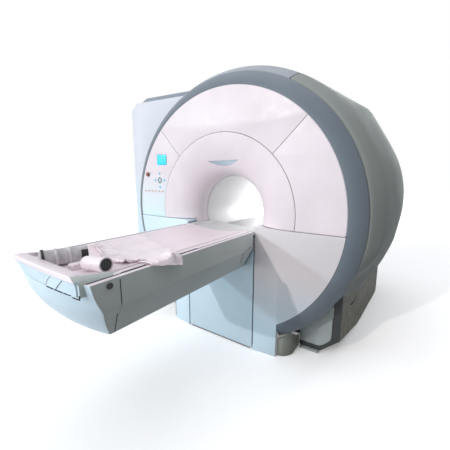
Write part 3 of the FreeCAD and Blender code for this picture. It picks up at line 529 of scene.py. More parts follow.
def rounded(corners, radii, steps=4):
    """A closed outline with each corner rounded to its radius."""
    outline = []
    for index, corner in enumerate(corners):
        radius = radii[index]
        if radius <= 0.0:
            outline.append(tuple(corner))
            continue
        here = Vector(corner)
        before = Vector(corners[index - 1]) - here
        after = Vector(corners[(index + 1) % len(corners)]) - here
        half = before.angle(after) / 2.0
        reach = min(radius / math.tan(half), 0.49 * before.length, 0.49 * after.length)
        first = here + before.normalized() * reach
        last = here + after.normalized() * reach
        for step in range(steps + 1):
            share = step / steps
            outline.append(tuple(first.lerp(here, share).lerp(here.lerp(last, share), share)))
    return outline


def flowing(points, steps=6):
    """A smooth line through the points."""
    knots = [Vector(point) for point in points]
    line = []
    for index in range(len(knots) - 1):
        before = knots[max(index - 1, 0)]
        here = knots[index]
        after = knots[index + 1]
        beyond = knots[min(index + 2, len(knots) - 1)]
        for step in range(steps):
            share = step / steps
            line.append(tuple(
                0.5 * (2.0 * here + (after - before) * share
                       + (2.0 * before - 5.0 * here + 4.0 * after - beyond) * share ** 2
                       + (3.0 * here - before - 3.0 * after + beyond) * share ** 3)))
    line.append(tuple(knots[-1]))
    return line


def shell_of(name, rows, closed_ends=True, ring=False):
    """A closed piece through rows of points, each row a closed outline; a ring runs on to its first row."""
    size = len(rows[0])
    points = [point for row in rows for point in row]
    faces = []
    for row in range(len(rows) if ring else len(rows) - 1):
        here, there = row * size, (row + 1) % len(rows) * size
        for index in range(size):
            following = (index + 1) % size
            faces.append((here + index, here + following, there + following, there + index))
    if closed_ends and not ring:
        faces.append(tuple(range(size)))
        faces.append(tuple(range((len(rows) - 1) * size, len(rows) * size)))
    return solid(name, points, faces)


def turned(name, profile, first=0.0, last=360.0, pitch=2.0):
    """A closed (radius, y) profile turned round the bore axis between two elevations."""
    full = last - first >= 359.999
    count = max(2, int(round((last - first) / pitch)))
    rows = []
    for station in range(count if full else count + 1):
        angle = math.radians(first + (last - first) * station / count)
        rows.append([ring_point(radius, depth, angle) for radius, depth in profile])
    return shell_of(name, rows, ring=full)


def spun(name, profile, centre, count=40):
    """A (radius, y) profile turned round its own axis, parallel to the bore."""
    points = []
    for step in range(count):
        angle = 2.0 * math.pi * step / count
        for radius, depth in profile:
            points.append(ring_point(radius, depth, angle, (centre[0], centre[2])))
    size = len(profile)
    faces = []
    for step in range(count):
        here, there = step * size, ((step + 1) % count) * size
        for index in range(size - 1):
            faces.append((here + index, here + index + 1, there + index + 1, there + index))
    return smooth(solid(name, points, faces), 40.0)


def arc(radius, first, last, pitch=2.0):
    """Points of an arc round the bore axis as (x, z)."""
    count = max(2, int(abs(last - first) / pitch))
    angles = [math.radians(first + (last - first) * step / count) for step in range(count + 1)]
    return [polar(radius, angle, (0.0, AXIS_HEIGHT)) for angle in angles]


def circle(centre, radius, count=40):
    """A closed round outline as (x, z)."""
    return [polar(radius, 2 * math.pi * step / count, centre) for step in range(count)]


def mirrored(line):
    """The line and its way back on the other side."""
    return line + [(-x, z) for x, z in reversed(line)]


def densely(outline, step):
    """The closed outline with extra points on its long runs."""
    dense = []
    for index, point in enumerate(outline):
        here, there = Vector(point), Vector(outline[(index + 1) % len(outline)])
        count = max(1, int((there - here).length / step))
        dense += [tuple(here.lerp(there, part / count)) for part in range(count)]
    return dense


def plate(name, outlines, front, thickness, edge, rounds=2):
    """A flat cover from closed (x, z) outlines with rounded edges, its face at y = front."""
    curve = bpy.data.curves.new(name, "CURVE")
    curve.dimensions = "2D"
    curve.fill_mode = "BOTH"
    curve.extrude = thickness / 2.0 - edge
    curve.bevel_depth = edge
    curve.bevel_resolution = rounds
    curve.offset = -edge
    for outline in outlines:
        spline = curve.splines.new("POLY")
        spline.points.add(len(outline) - 1)
        for point, (x, z) in zip(spline.points, outline):
            point.co = (x, z, 0.0, 1.0)
        spline.use_cyclic_u = True
    source = link(name + "_outline", curve)
    bpy.context.view_layer.update()
    evaluated = source.evaluated_get(bpy.context.evaluated_depsgraph_get())
    mesh = bpy.data.meshes.new_from_object(evaluated)
    mesh.transform(Matrix.Translation((0.0, front + thickness / 2.0, 0.0)) @ Matrix.Rotation(math.pi / 2.0, 4, "X"))
    tidy(mesh)
    bpy.data.objects.remove(source)
    return link(name, mesh)


def placed(piece, base, direction):
    """Moves a piece made along Z so that it starts at base and runs along direction."""
    turn = Vector(direction).to_track_quat("Z", "X").to_matrix().to_4x4()
    piece.data.transform(Matrix.Translation(base) @ turn)
    return piece


def round_bar(name, profile, base, direction, count=48):
    """A (radius, length) profile turned round a free axis."""
    turns = [2 * math.pi * step / count for step in range(count)]
    rows = [[(*polar(radius, turn), length) for turn in turns] for radius, length in profile]
    return smooth(placed(shell_of(name, rows), base, direction), 40.0)


def refined(name, node, width=0.003, steps=2, angle=28.0, reshape=None):
    """A copy of a frame node with flat faces joined, its points moved by a rule and its edges rounded."""
    mesh = NODES[node].data.copy()
    body = bmesh.new()
    body.from_mesh(mesh)
    bmesh.ops.remove_doubles(body, verts=body.verts, dist=2e-5)
    bmesh.ops.dissolve_limit(body, angle_limit=math.radians(0.8), verts=body.verts, edges=body.edges)
    body.to_mesh(mesh)
    body.free()
    if reshape:
        for vertex in mesh.vertices:
            vertex.co = reshape(vertex.co)
    piece = link(name, mesh)
    return smooth(soften(piece, width, steps, angle))


def lay_cloth_map(piece):
    """Gives a cloth piece a flat map in metres for its weave."""
    layer = piece.data.uv_layers.new(name="cloth")
    for loop in piece.data.loops:
        place = piece.data.vertices[loop.vertex_index].co
        layer.data[loop.index].uv = (place.x + 0.4 * place.z, place.y + 0.6 * place.z)


def dress(piece, finish, *nodes, body=None, slot=None, shown=False):
    """Gives the piece its finish and its body, and lets it stand for its nodes; the slot is not used."""
    piece.data.materials.clear()
    piece.data.materials.append(FINISHES[finish])
    for polygon in piece.data.polygons:
        polygon.material_index = 0
    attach(piece, body or NODES[nodes[0]]["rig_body"])
    if nodes and not shown:
        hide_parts(*nodes)
    return piece


def second_finish(piece, finish, belongs):
    """Paints the faces that belong, by their middle and normal, in another finish."""
    piece.data.materials.append(FINISHES[finish])
    number = len(piece.data.materials) - 1
    for polygon in piece.data.polygons:
        if belongs(polygon.center, polygon.normal):
            polygon.material_index = number


def repaint(finish, *nodes):
    """Gives frame nodes that stay in view a better finish."""
    for node in nodes:
        for holder in NODES[node].material_slots:
            holder.material = FINISHES[finish]


# ---------------------------------------------------------------- repeated details


def repeated(name, spots, size, finish, body, slot, shape="screw", facing=(0.0, -1.0, 0.0)):
    """Like details set on a list of points by a node tree: screw heads, keys or slats."""
    mesh = bpy.data.meshes.new(name)
    mesh.from_pydata([tuple(spot) for spot in spots], [], [])
    piece = link(name, mesh)
    tree = bpy.data.node_groups.new(name, "GeometryNodeTree")
    tree.interface.new_socket("Geometry", in_out="INPUT", socket_type="NodeSocketGeometry")
    inputs = {}
    for label, value in (("Width", size[0]), ("Depth", size[1]), ("Height", size[2])):
        socket = tree.interface.new_socket(label, in_out="INPUT", socket_type="NodeSocketFloat")
        socket.default_value = value
        inputs[label] = (socket.identifier, value)
    tree.interface.new_socket("Geometry", in_out="OUTPUT", socket_type="NodeSocketGeometry")
    enter = tree.nodes.new("NodeGroupInput")
    leave = tree.nodes.new("NodeGroupOutput")
    if shape == "screw":
        form = tree.nodes.new("GeometryNodeMeshCylinder")
        form.inputs["Vertices"].default_value = 20
        form.inputs["Radius"].default_value = 0.5
        form.inputs["Depth"].default_value = 1.0
    else:
        form = tree.nodes.new("GeometryNodeMeshCube")
        form.inputs["Size"].default_value = (1.0, 1.0, 1.0)
    scale = tree.nodes.new("ShaderNodeCombineXYZ")
    turn = tree.nodes.new("FunctionNodeAlignRotationToVector")
    turn.axis = "Z"
    turn.inputs["Vector"].default_value = facing
    spread = tree.nodes.new("GeometryNodeInstanceOnPoints")
    real = tree.nodes.new("GeometryNodeRealizeInstances")
    paint = tree.nodes.new("GeometryNodeSetMaterial")
    paint.inputs["Material"].default_value = FINISHES[finish]
    for source, output, target, entry in (
            (enter, "Width", scale, "X"), (enter, "Height", scale, "Y"), (enter, "Depth", scale, "Z"),
            (enter, "Geometry", spread, "Points"), (form, "Mesh", spread, "Instance"),
            (turn, "Rotation", spread, "Rotation"), (scale, "Vector", spread, "Scale"),
            (spread, "Instances", real, "Geometry"), (real, "Geometry", paint, "Geometry"),
            (paint, "Geometry", leave, "Geometry")):
        tree.links.new(source.outputs[output], target.inputs[entry])
    modifier = piece.modifiers.new(name, "NODES")
    modifier.node_group = tree
    for identifier, value in inputs.values():
        modifier[identifier] = value
    bake(piece)
    soften(piece, min(size) * 0.3, 2, 40.0)
    smooth(piece)
    return dress(piece, finish, body=body, slot=slot)


# ---------------------------------------------------------------- scanner pieces


def funnel_curve(steps=40):
    """Inner surface of the front funnel, from its rim on the face to its throat."""
    line = []
    for step in range(steps + 1):
        angle = math.pi / 2.0 * step / steps
        line.append((THROAT_RADIUS + 0.319 * (1.0 - math.cos(angle)), 0.200 * (1.0 - math.sin(angle))))
    return line[::-1]


def crescent(grow, front, back):
    """A cutter with the window's outline: straight on top, curved below."""
    half = 0.150 + grow
    outline = [(half * step / 20.0, 1.484 + grow - (0.036 + 2.0 * grow) * (1.0 - (step / 20.0) ** 2))
               for step in range(-20, 21)]
    return plate("cutter", [outline], front, back - front, 0.0, 0)


def build_funnel(sizes):
    """The flared funnel round the bore, its positioning window and the lining behind it."""
    inner = funnel_curve()
    inner.append((THROAT_RADIUS, THROAT_DEPTH))
    outer = [(THROAT_RADIUS + 0.015, THROAT_DEPTH)]
    outer += [(radius + 0.012, depth + 0.010) for radius, depth in reversed(inner[2:-1])]
    outer.append((0.622, 0.014))
    funnel = turned("front_funnel_flare", inner + outer, pitch=1.5)
    carve(funnel, block((-0.3335, -0.1, 0.2), (0.3335, 0.3, 0.961)))
    carve(funnel, block((0.3330, -0.1, 0.2), (0.8, 0.3, 0.990)))
    carve(funnel, block((-0.8, -0.1, 0.2), (-0.3330, 0.3, 0.990)))
    carve(funnel, crescent(0.0015, 0.020, 0.125))
    smooth(funnel)
    dress(funnel, "face", "front_funnel")
    pane_inner = [(radius + 0.0015, depth + 0.0015) for radius, depth in inner[:-1]]
    pane_outer = [(radius + 0.008, depth + 0.006) for radius, depth in reversed(pane_inner)]
    pane = turned("positioning_window", pane_inner + pane_outer, 60.0, 120.0, 1.0)
    carve(pane, crescent(0.0, 0.018, 0.130), "INTERSECT")
    smooth(pane)
    dress(pane, "window", "laser_window")
    wall = [(0.300, THROAT_DEPTH), (0.300, LINER_END), (0.308, LINER_END), (0.308, THROAT_DEPTH)]
    liner = turned("bore_lining_tube", wall, pitch=2.0)
    dress(smooth(liner), "bore", "bore_liner")


def build_face(sizes):
    """The three covers of the round face above the table."""
    gap = sizes.seam_gap / 2.0
    edge = sizes.cover_edge
    inner = 0.6275 + gap
    outer = 0.9535
    right, left = 44.7, 132.6

    def off(angle, radius, side):
        return angle + side * math.degrees(gap / radius)

    top = (arc(inner, off(right, inner, 1), off(left, inner, -1))
           + arc(outer, off(left, outer, -1), off(right, outer, 1)))
    dress(smooth(plate("face_cover_upper", [top], 0.0, COVER_THICK, edge)), "face", "upper_front_cover")
    floor = 0.989
    low_inner = math.degrees(math.asin((floor - AXIS_HEIGHT) / inner))
    low_outer = math.degrees(math.asin((floor - AXIS_HEIGHT) / outer))
    side = arc(inner, off(right, inner, -1), low_inner) + arc(outer, low_outer, off(right, outer, -1))
    dress(smooth(plate("face_cover_right", [side], 0.0, COVER_THICK, edge)), "face", "right_front_cover")
    side = arc(inner, off(left, inner, 1), 180.0 - low_inner) + arc(outer, 180.0 - low_outer, off(left, outer, 1))
    holes = [
        circle((-0.842, 1.384), 0.0095, 24),
        rounded([(-0.7098, 1.4655), (-0.5872, 1.4655), (-0.5872, 1.5585), (-0.7098, 1.5585)], [0.004] * 4),
    ]
    cover = plate("face_cover_left", [side] + holes, 0.0, COVER_THICK, edge)
    dress(smooth(cover), "flank", "left_front_cover")
    spots = [(0.015, 0.0002, 1.683), (-0.482, 0.0002, 1.449), (0.490, 0.0002, 1.428)]
    repeated("face_cover_screws", spots, (0.009, 0.0012, 0.009), "screw", "magnet", "key_grey")


def build_ring(sizes):
    """The bevelled grey ring round the face."""
    edge = sizes.ring_edge
    front = flowing([(0.960, 0.0010), (0.982, 0.0075), (1.008, 0.0215), (1.036, 0.0435), (1.056, 0.0640)], 4)
    profile = rounded([(0.957, 0.0)] + front + [(1.0615, 0.071), (1.0615, 0.090), (0.957, 0.090)],
                      [0.001] + [0.0] * len(front) + [edge, 0.0, 0.0], 4)
    ring = turned("face_trim_ring", profile, pitch=1.0)
    carve(ring, block((-0.519, -0.1, -0.2), (0.519, 0.2, 0.9)))
    dress(smooth(ring), "ring", "trim_ring")
    groove = [(0.950, 0.0030), (0.9575, 0.0030), (0.9575, 0.0060), (0.950, 0.0060)]
    dress(turned("face_ring_joint", groove, -4.0, 184.0, 1.5), "key", body="magnet", slot="strip_dark")
    # The lower parts of the joint are near-black as painted shade, where the gap lies in shade; the upper part is
    # grey.
    shadow = [turned("joint", groove, first, last, 1.5) for first, last in ((-57.0, -4.5), (184.5, 237.0))]
    dress(join("lower_ring_joint_shade", shadow), "dark", body="magnet", slot="strip_dark")


def barrel_line(bulged):
    """Outer line of the barrel covers from the ring to the rear rim."""
    if bulged:
        knots = [(1.072, 0.090), (1.094, 0.118), (1.137, 0.200), (1.163, 0.310), (1.186, 0.440), (1.1985, 0.580),
                 (1.200, 0.800), (1.200, 1.300), (1.1975, 1.500), (1.180, 1.680), (1.146, 1.840), (1.110, 1.960),
                 (1.075, 2.050)]
    else:
        knots = [(1.072, 0.090), (1.094, 0.118), (1.128, 0.180), (1.137, 0.240), (1.137, 0.500), (1.137, 1.000),
                 (1.137, 1.650), (1.134, 1.780), (1.118, 1.880), (1.098, 1.970), (1.075, 2.050)]
    return flowing(knots, 5)


BULGE = ((-58.0, 0.28), (-35.0, 0.33), (-22.7, 0.42), (-14.6, 0.66), (-8.4, 0.90), (0.0, 1.03),
         (7.0, 1.12), (18.0, 1.20), (30.0, 1.17), (35.0, 1.24), (39.5, 1.38), (43.0, 1.04),
         (47.0, 0.76), (51.0, 0.57), (56.0, 0.45), (60.9, 0.42))
LOW_REACH = 1.064


def side_line(angle):
    """Outer line of a side cover at one elevation: full at its middle, drawn in low down behind the ring."""
    straight = [(depth, radius) for radius, depth in barrel_line(False)]
    share = between(BULGE, angle)
    low = clamped((-10.0 - angle) / 12.0)
    line = []
    for radius, depth in barrel_line(True):
        plain = between(straight, depth)
        reach = plain + share * (radius - plain)
        drawn = LOW_REACH + (reach - LOW_REACH) * eased(clamped((depth - 0.09) / 0.55))
        line.append((reach + low * (drawn - reach), depth))
    return line


def side_skin(name, first, last, pitch, inward, front=0.0, rear=3.0):
    """Closed shell of a side cover between two elevations and two depths; inward gives its inner line."""
    count = max(1, int(round((last - first) / pitch)))
    rows = []
    for station in range(count + 1):
        angle = first + (last - first) * station / count
        line = [point for point in side_line(angle) if front <= point[1] <= rear]
        turn = math.radians(angle)
        rows.append([ring_point(radius, depth, turn) for radius, depth in line + inward(line)])
    return shell_of(name, rows)


def inner_line(line):
    """The way back along a barrel cover's line, inside its wall."""
    return [(radius - BARREL_SHELL, depth) for radius, depth in reversed(line)]


def rim_line(line):
    """The way back along a side cover's upper wall, just inside the ring."""
    return [(1.1185, depth) for radius, depth in reversed(line)]


def build_barrel(sizes):
    """The barrel's top cover and its two bulged side covers."""
    line = barrel_line(False)
    shell = line + inner_line(line)
    top = turned("barrel_cover_top", shell, 61.15, 118.85, 1.5)
    dress(smooth(soften(top, 0.004, 2, 50.0)), "crest_painted_light", "top_cover")
    for side, mirror in (("right", 1.0), ("left", -1.0)):
        skin = side_skin("skin", -58.0, 60.85, 1.5, inner_line)
        soften(skin, 0.005, 2, 50.0)
        wall = side_skin("wall", 60.0, 60.75, 1.0, rim_line, 0.24, 1.80)
        cover = join(f"barrel_cover_{side}", [skin, wall])
        carve(cover, block((0.4, 0.252, -0.2), (1.3, 1.960, 0.300)))
        if mirror < 0.0:
            cover.data.transform(Matrix.Scale(-1.0, 4, (1.0, 0.0, 0.0)))
            cover.data.flip_normals()
        dress(smooth(cover, 40.0), "barrel", f"{side}_side_cover")


def build_rear(sizes):
    """The rear cover with its vents, and the flared rear funnel."""
    profile = rounded(
        [(0.422, 2.114), (0.422, 2.130), (1.000, 2.130), (1.075, 2.052), (1.053, 2.052), (0.993, 2.114)],
        [0.0, 0.003, 0.030, 0.004, 0.0, 0.0], 4)
    cover = turned("rear_cover_disc", profile, pitch=1.5)
    carve(cover, block((-1.3, 2.0, -0.3), (1.3, 2.3, 0.015)))
    for angle in (61.0, 119.0, -28.0, 208.0):
        groove = block((0.47, 2.1285, -0.0015), (1.20, 2.140, 0.0015))
        groove.data.transform(Matrix.Rotation(-math.radians(angle), 4, "Y"))
        groove.data.transform(Matrix.Translation((0.0, 0.0, AXIS_HEIGHT)))
        carve(cover, groove)
    carve(cover, turned("groove", [(0.6285, 2.1285), (0.6285, 2.14), (0.6315, 2.14), (0.6315, 2.1285)], pitch=2.0))
    dress(smooth(cover), "barrel", "rear_cover")
    line = flowing([(THROAT_RADIUS, LINER_END), (0.312, 1.950), (0.326, 2.010), (0.345, 2.056),
                    (0.378, 2.098), (0.420, 2.129)], 6)
    back = [(radius + 0.010, depth - 0.012) for radius, depth in reversed(line[2:])]
    flare = line + back + [(0.319, LINER_END)]
    dress(smooth(turned("rear_funnel_flare", flare, pitch=1.5)), "lower", "rear_funnel")
    spots = []
    for side in (-1.0, 1.0):
        for index in range(sizes.vent_count):
            spots.append((side * 0.62, 2.1305, 0.36 + 0.022 * index))
    repeated("rear_vent_slats", spots, (0.26, 0.003, 0.008), "dark", "magnet", "strip_dark", "slat", (0.0, 1.0, 0.0))
    spots = [ring_point(0.80, 2.1302, math.radians(angle)) for angle in (10, 50, 75, 105, 130, 170, 195, 345)]
    repeated("rear_cover_screws", spots, (0.012, 0.002, 0.012), "steel", "magnet", "steel_frame", "screw",
             (0.0, 1.0, 0.0))


def build_wing(sizes):
    """The side cabinet behind the face, with its grey cap: a shorter chamfer and a cap that follows the front."""

    def panel_point(point):
        if point.z > 2.115 and abs(point.x + 1.1668) < 0.02:
            return point + Vector((-0.058, -0.0076 if point.y < 0.4 else 0.0, 0.0))
        if point.x < -1.290 and abs(point.z - 2.0273) < 0.01:
            return point + Vector((0.0, 0.0, 0.030))
        return point

    def cap_point(point):
        end = -0.062 + 0.022 * (point.z - 2.125) / 0.075 if point.x < -1.150 else 0.0
        back = 0.1 * (point.x + 1.3) / 0.76 if point.y < 0.45 else 0.0
        return point + Vector((end, back, 0.0))

    dress(refined("cabinet_panel", "wing_cover", 0.010, 3, reshape=panel_point), "wing", "wing_cover")
    dress(refined("cabinet_cap", "wing_cap", 0.008, 3, reshape=cap_point), "cap", "wing_cap")


def build_lower(sizes):
    """The lower covers, neck, base covers and feet."""
    for name, node, finish in (("lower_cover_left", "lower_left_cover", "wing"),
                               ("lower_cover_right", "lower_right_cover", "quarter"),
                               ("neck_cover", "neck_panel", "lower")):
        dress(refined(name, node, 0.003, 2), finish, node)
    for name, node in (("base_cover_left", "left_base_cover"), ("base_cover_right", "right_base_cover")):
        skirt = link(name, NODES[node].data.copy())
        tidy(skirt.data, 2e-5)
        side = 1.0 if "right" in name else -1.0
        plan = [(0.900, 0.2535), (0.9248, 0.2535), (1.0195, 1.789), (1.000, 1.789)]
        rise = shell_of("rise", [[(side * x, y, z) for x, y in plan] for z in (0.34, 0.60)])
        dress(smooth(join(name, [skirt, rise]), 6.0), "skirt", node)
    inset = rounded([(0.622, 0.054), (0.786, 0.054), (0.864, 0.130), (0.864, 0.600), (0.622, 0.600)],
                    [0.0, 0.085, 0.085, 0.0, 0.0], 8)
    # The edge strips are near-black plates that stand in for the shade on the side covers' returns.
    strip = (rounded([(0.622, 0.018), (0.788, 0.018), (0.926, 0.156), (0.926, 0.600)], [0.0, 0.07, 0.09, 0.0], 8)
             + rounded([(0.868, 0.600), (0.868, 0.130), (0.788, 0.050), (0.622, 0.050)], [0.0, 0.08, 0.07, 0.0], 8))
    for name, node, outline, front, thick, finish in (
            ("side_inset_panels", "inset_panels", inset, 0.248, 0.008, "inset"),
            ("side_edge_strips", "edge_strips", strip, 0.246, 0.010, "strip")):
        pair = [plate("right", [outline], front, thick, 0.0015),
                plate("left", [[(-x, z) for x, z in reversed(outline)]], front, thick, 0.0015)]
        dress(smooth(join(name, pair)), finish, node)
    dress(refined("front_foot_covers", "foot_covers", 0.004, 2), "olive_painted_shade", "foot_covers")
    dress(refined("levelling_foot_plates", "foot_plates", 0.003, 2), "inset", "foot_plates")


def build_controls(sizes):
    """Display, arrow keys, joypad, key strip and stop button on the face."""
    low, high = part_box("display_screen")
    size = (high.x - low.x, high.z - low.z)
    FINISHES["screen"] = lit_screen("lit display", tuple(bpy.context.scene.scanner_colours.screen_cyan),
                                    (low.x, low.z), size)
    dress(refined("control_display", "display_screen", 0.002, 3), "screen", "display_screen")
    low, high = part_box("joypad_disc")
    FINISHES["dial"] = dial("joypad print", (0.560, 0.640, 0.700), (0.070, 0.095, 0.110),
                            ((low.x + high.x) / 2.0, (low.z + high.z) / 2.0), (high.x - low.x) / 2.0)
    dress(refined("joypad_plate", "joypad_disc", 0.0012, 2), "dial", "joypad_disc")
    for direction in ("up", "down", "left", "right"):
        node = f"arrow_{direction}"
        dress(refined(f"{direction}_arrow_key", node, 0.0012, 2), "lamp", node)
    dress(refined("membrane_strip", "key_strip", 0.0008, 2), "face", "key_strip")
    low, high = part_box("key_strip")
    middle = (low + high) / 2.0
    start = middle.x - sizes.key_pitch * (sizes.key_count - 1) / 2.0
    spots = [(start + sizes.key_pitch * index, low.y, middle.z) for index in range(sizes.key_count)]
    repeated("membrane_keys", spots, (0.016, 0.002, 0.010), "key", "magnet", "key_grey", "key")
    dress(refined("stop_bezel", "stop_collar", 0.001, 2), "key", "stop_collar")
    low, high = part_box("stop_button")
    centre = (low + high) / 2.0
    head = [(0.0, -0.0180), (0.008, -0.0178), (0.014, -0.0165), (0.0175, -0.0140), (0.0185, -0.0115),
            (0.0175, -0.0090), (0.015, -0.0080), (0.008, -0.0080), (0.008, high.y), (0.0, high.y)]
    button = spun("stop_mushroom", head, (centre.x, 0.0, centre.z))
    dress(button, "red", "stop_button")


def crown(x, z):
    """Depth of the foot cover's crowned face at a place of its outline."""
    knots = ((0.682, 1.472), (0.720, 1.496), (0.760, 1.519), (0.800, 1.540), (0.835, 1.557),
             (0.870, 1.573), (0.905, 1.586), (0.960, 1.598))
    fullness = between(((0.682, 0.010), (0.720, 0.024), (0.760, 0.030), (0.800, 0.031), (0.835, 0.030),
                        (0.870, 0.024), (0.905, 0.015), (0.960, 0.004)), z, eased)
    bow = math.sqrt(between(knots, z) ** 2 - x ** 2)
    return 0.299 - bow - fullness * (1.0 - abs(x / half_width(z)) ** 3.5)


def build_foot_cover():
    """The crowned cover on the table's foot end."""
    levels = [BEAM_LOW, 0.690, 0.710, 0.735, 0.760, 0.785, 0.805, 0.820, 0.830, 0.840, 0.855, 0.880, 0.905,
              0.930, 0.959]
    across = [step / 24.0 for step in range(-24, 25)]
    rows = []
    for z in levels:
        half = half_width(z)
        front = [(half * share, crown(half * share, z), z) for share in across]
        back = [(half * share, -1.1415, z) for share in reversed(across)]
        rows.append(front + back)
    cover = shell_of("beam_foot_cover", rows)
    carve(cover, block((-0.3030, -1.45, 0.9105), (0.3030, -1.10, 1.05)))
    soften(cover, 0.0045, 3, 24.0)
    smooth(cover, 30.0)
    dress(cover, "lower", "beam_end_cover")
    # Painted light and shade by face direction: the upward faces take the tray's pinker white and the side faces the
    # table grey.
    second_finish(cover, "rim", lambda middle, normal: normal.z > 0.6 and middle.z > 0.94)
    second_finish(cover, "table", lambda middle, normal: normal.x > 0.62 or normal.x < -0.62)


def tray_top(y):
    """Height of the tail tray's rim, rising towards the foot end."""
    return 0.962 + 0.029 * clamped((-1.085 - y) / 0.190)


def shoulder_line(top):
    """Rounded shoulder of the tray's right wall as (x, z), from its side up to its top."""
    wide, high = 0.060, min(0.044, 0.8 * (top - TRAY_LOW))
    turns = [math.radians(turn) for turn in (0, 12, 24, 36, 48, 60, 72, 82, 90)]
    return [(TRAY_HALF - wide + wide * math.cos(turn), top - high + high * math.sin(turn)) for turn in turns]


def build_tail():
    """The tail tray with its rolled rim, and the plate on its end."""
    rows = []
    for y in (-1.300, -1.285, -1.260, -1.230, -1.200, -1.170, -1.140, -1.110, -1.075):
        section = mirrored([(TRAY_HALF, TRAY_LOW)] + shoulder_line(tray_top(y)))
        bow = TRAY_BOW * (-1.075 - y) / 0.227
        rows.append([(x, y + bow * (x / TRAY_HALF) ** 2, z) for x, z in densely(section, 0.04)])
    tray = shell_of("tail_tray_basin", rows)
    lip = []
    outline = mirrored([point for point in shoulder_line(0.991) if point[1] > 0.960])
    for y, grow in ((-1.3085, -0.005), (-1.3080, -0.002), (-1.3060, 0.0005), (-1.300, 0.0015),
                    (-1.285, 0.0015), (-1.270, 0.0)):
        section = [(x * (1.0 + grow / TRAY_HALF), z + grow * (1.0 if z > 0.985 else -1.0)) for x, z in outline]
        lip.append([(x, y + 0.010 * (x / TRAY_HALF) ** 2, z) for x, z in densely(section, 0.04)])
    carve(tray, shell_of("lip", lip), "UNION")
    for vertex in tray.data.vertices:
        lean = clamped((-vertex.co.x - 0.10) / 0.20) * clamped((0.965 - vertex.co.z) / 0.050)
        if vertex.co.y < -1.20:
            vertex.co.y += 0.034 * lean * lean
    plan = rounded([(-0.262, -1.255), (0.262, -1.255), (0.272, -0.9), (-0.272, -0.9)], [0.06, 0.06, 0.0, 0.0], 8)
    pocket = shell_of("cutter", [[(x, y, 0.9250) for x, y in plan], [(x * 1.02, y - 0.004, 1.10) for x, y in plan]])
    carve(tray, pocket)
    soften(tray, 0.0085, 4, 34.0)
    smooth(tray, 34.0)
    dress(tray, "rim", "tail_tray")
    # Painted light and shade by face direction: the tray keeps its pink white on its upward faces, its front faces
    # take the cooler blue white and its sides the table grey.
    second_finish(tray, "lower", lambda middle, normal: (
        normal.y < -0.5 and middle.z < 0.9775 and middle.y < -1.25))
    second_finish(tray, "table", lambda middle, normal: (
        abs(normal.x) > 0.35 and abs(middle.x) > 0.262 and middle.y > -1.296))
    outline = rounded([(0.062, 0.9155), (0.289, 0.9155), (0.289, 0.966), (0.080, 0.966)],
                      [0.006, 0.004, 0.030, 0.012], 6)
    end = plate("tail_end_plate", [densely(outline, 0.02)], -1.3055, 0.009, 0.0015)
    for vertex in end.data.vertices:
        vertex.co.y += TRAY_BOW * (vertex.co.x / TRAY_HALF) ** 2
    dress(smooth(end), "lower", "tail_plate")
    strokes = [(0.075, 0.9125, 0.128, 0.9125), (0.138, 0.9125, 0.196, 0.9130), (0.204, 0.9130, 0.252, 0.9135),
               (0.262, 0.9085, 0.305, 0.9085), (0.3055, 0.9085, 0.3055, 0.9240),
               (0.118, 0.964, 0.092, 0.945), (0.092, 0.945, 0.070, 0.918), (0.205, 0.964, 0.180, 0.945),
               (0.180, 0.945, 0.150, 0.918)]
    bars = []
    for x0, z0, x1, z1 in strokes:
        fine = 0.0012 if abs(z1 - z0) < 0.016 or x0 > 0.3 else 0.0004
        along = Vector((x1 - x0, z1 - z0)).normalized()
        side = Vector((-along.y, along.x)) * fine
        corners = [(x0 + side.x, z0 + side.y), (x1 + side.x, z1 + side.y),
                   (x1 - side.x, z1 - side.y), (x0 - side.x, z0 - side.y)]
        front = [(x, -1.3064 + TRAY_BOW * (x / TRAY_HALF) ** 2, z) for x, z in corners]
        bars.append(shell_of("bar", [front, [(x, y + 0.004, z) for x, y, z in front]]))
    dress(join("tail_joints", bars), "dark", body="table_lift", slot="strip_dark")


def seam_on_side(first, last, side):
    """A thin dark joint on the table's side between two (y, z) places."""
    def surface(y, z):
        return Vector((side * (half_width(z) + 0.0007), y, z))

    start, end = surface(*first), surface(*last)
    across = Vector((0.0, end.z - start.z, -(end.y - start.y))).normalized() * 0.0018
    deep = Vector((-side * 0.004, 0.0, 0.0))
    outline = [start + across, end + across, end - across, start - across]
    return shell_of("seam", [outline, [corner + deep for corner in outline]])


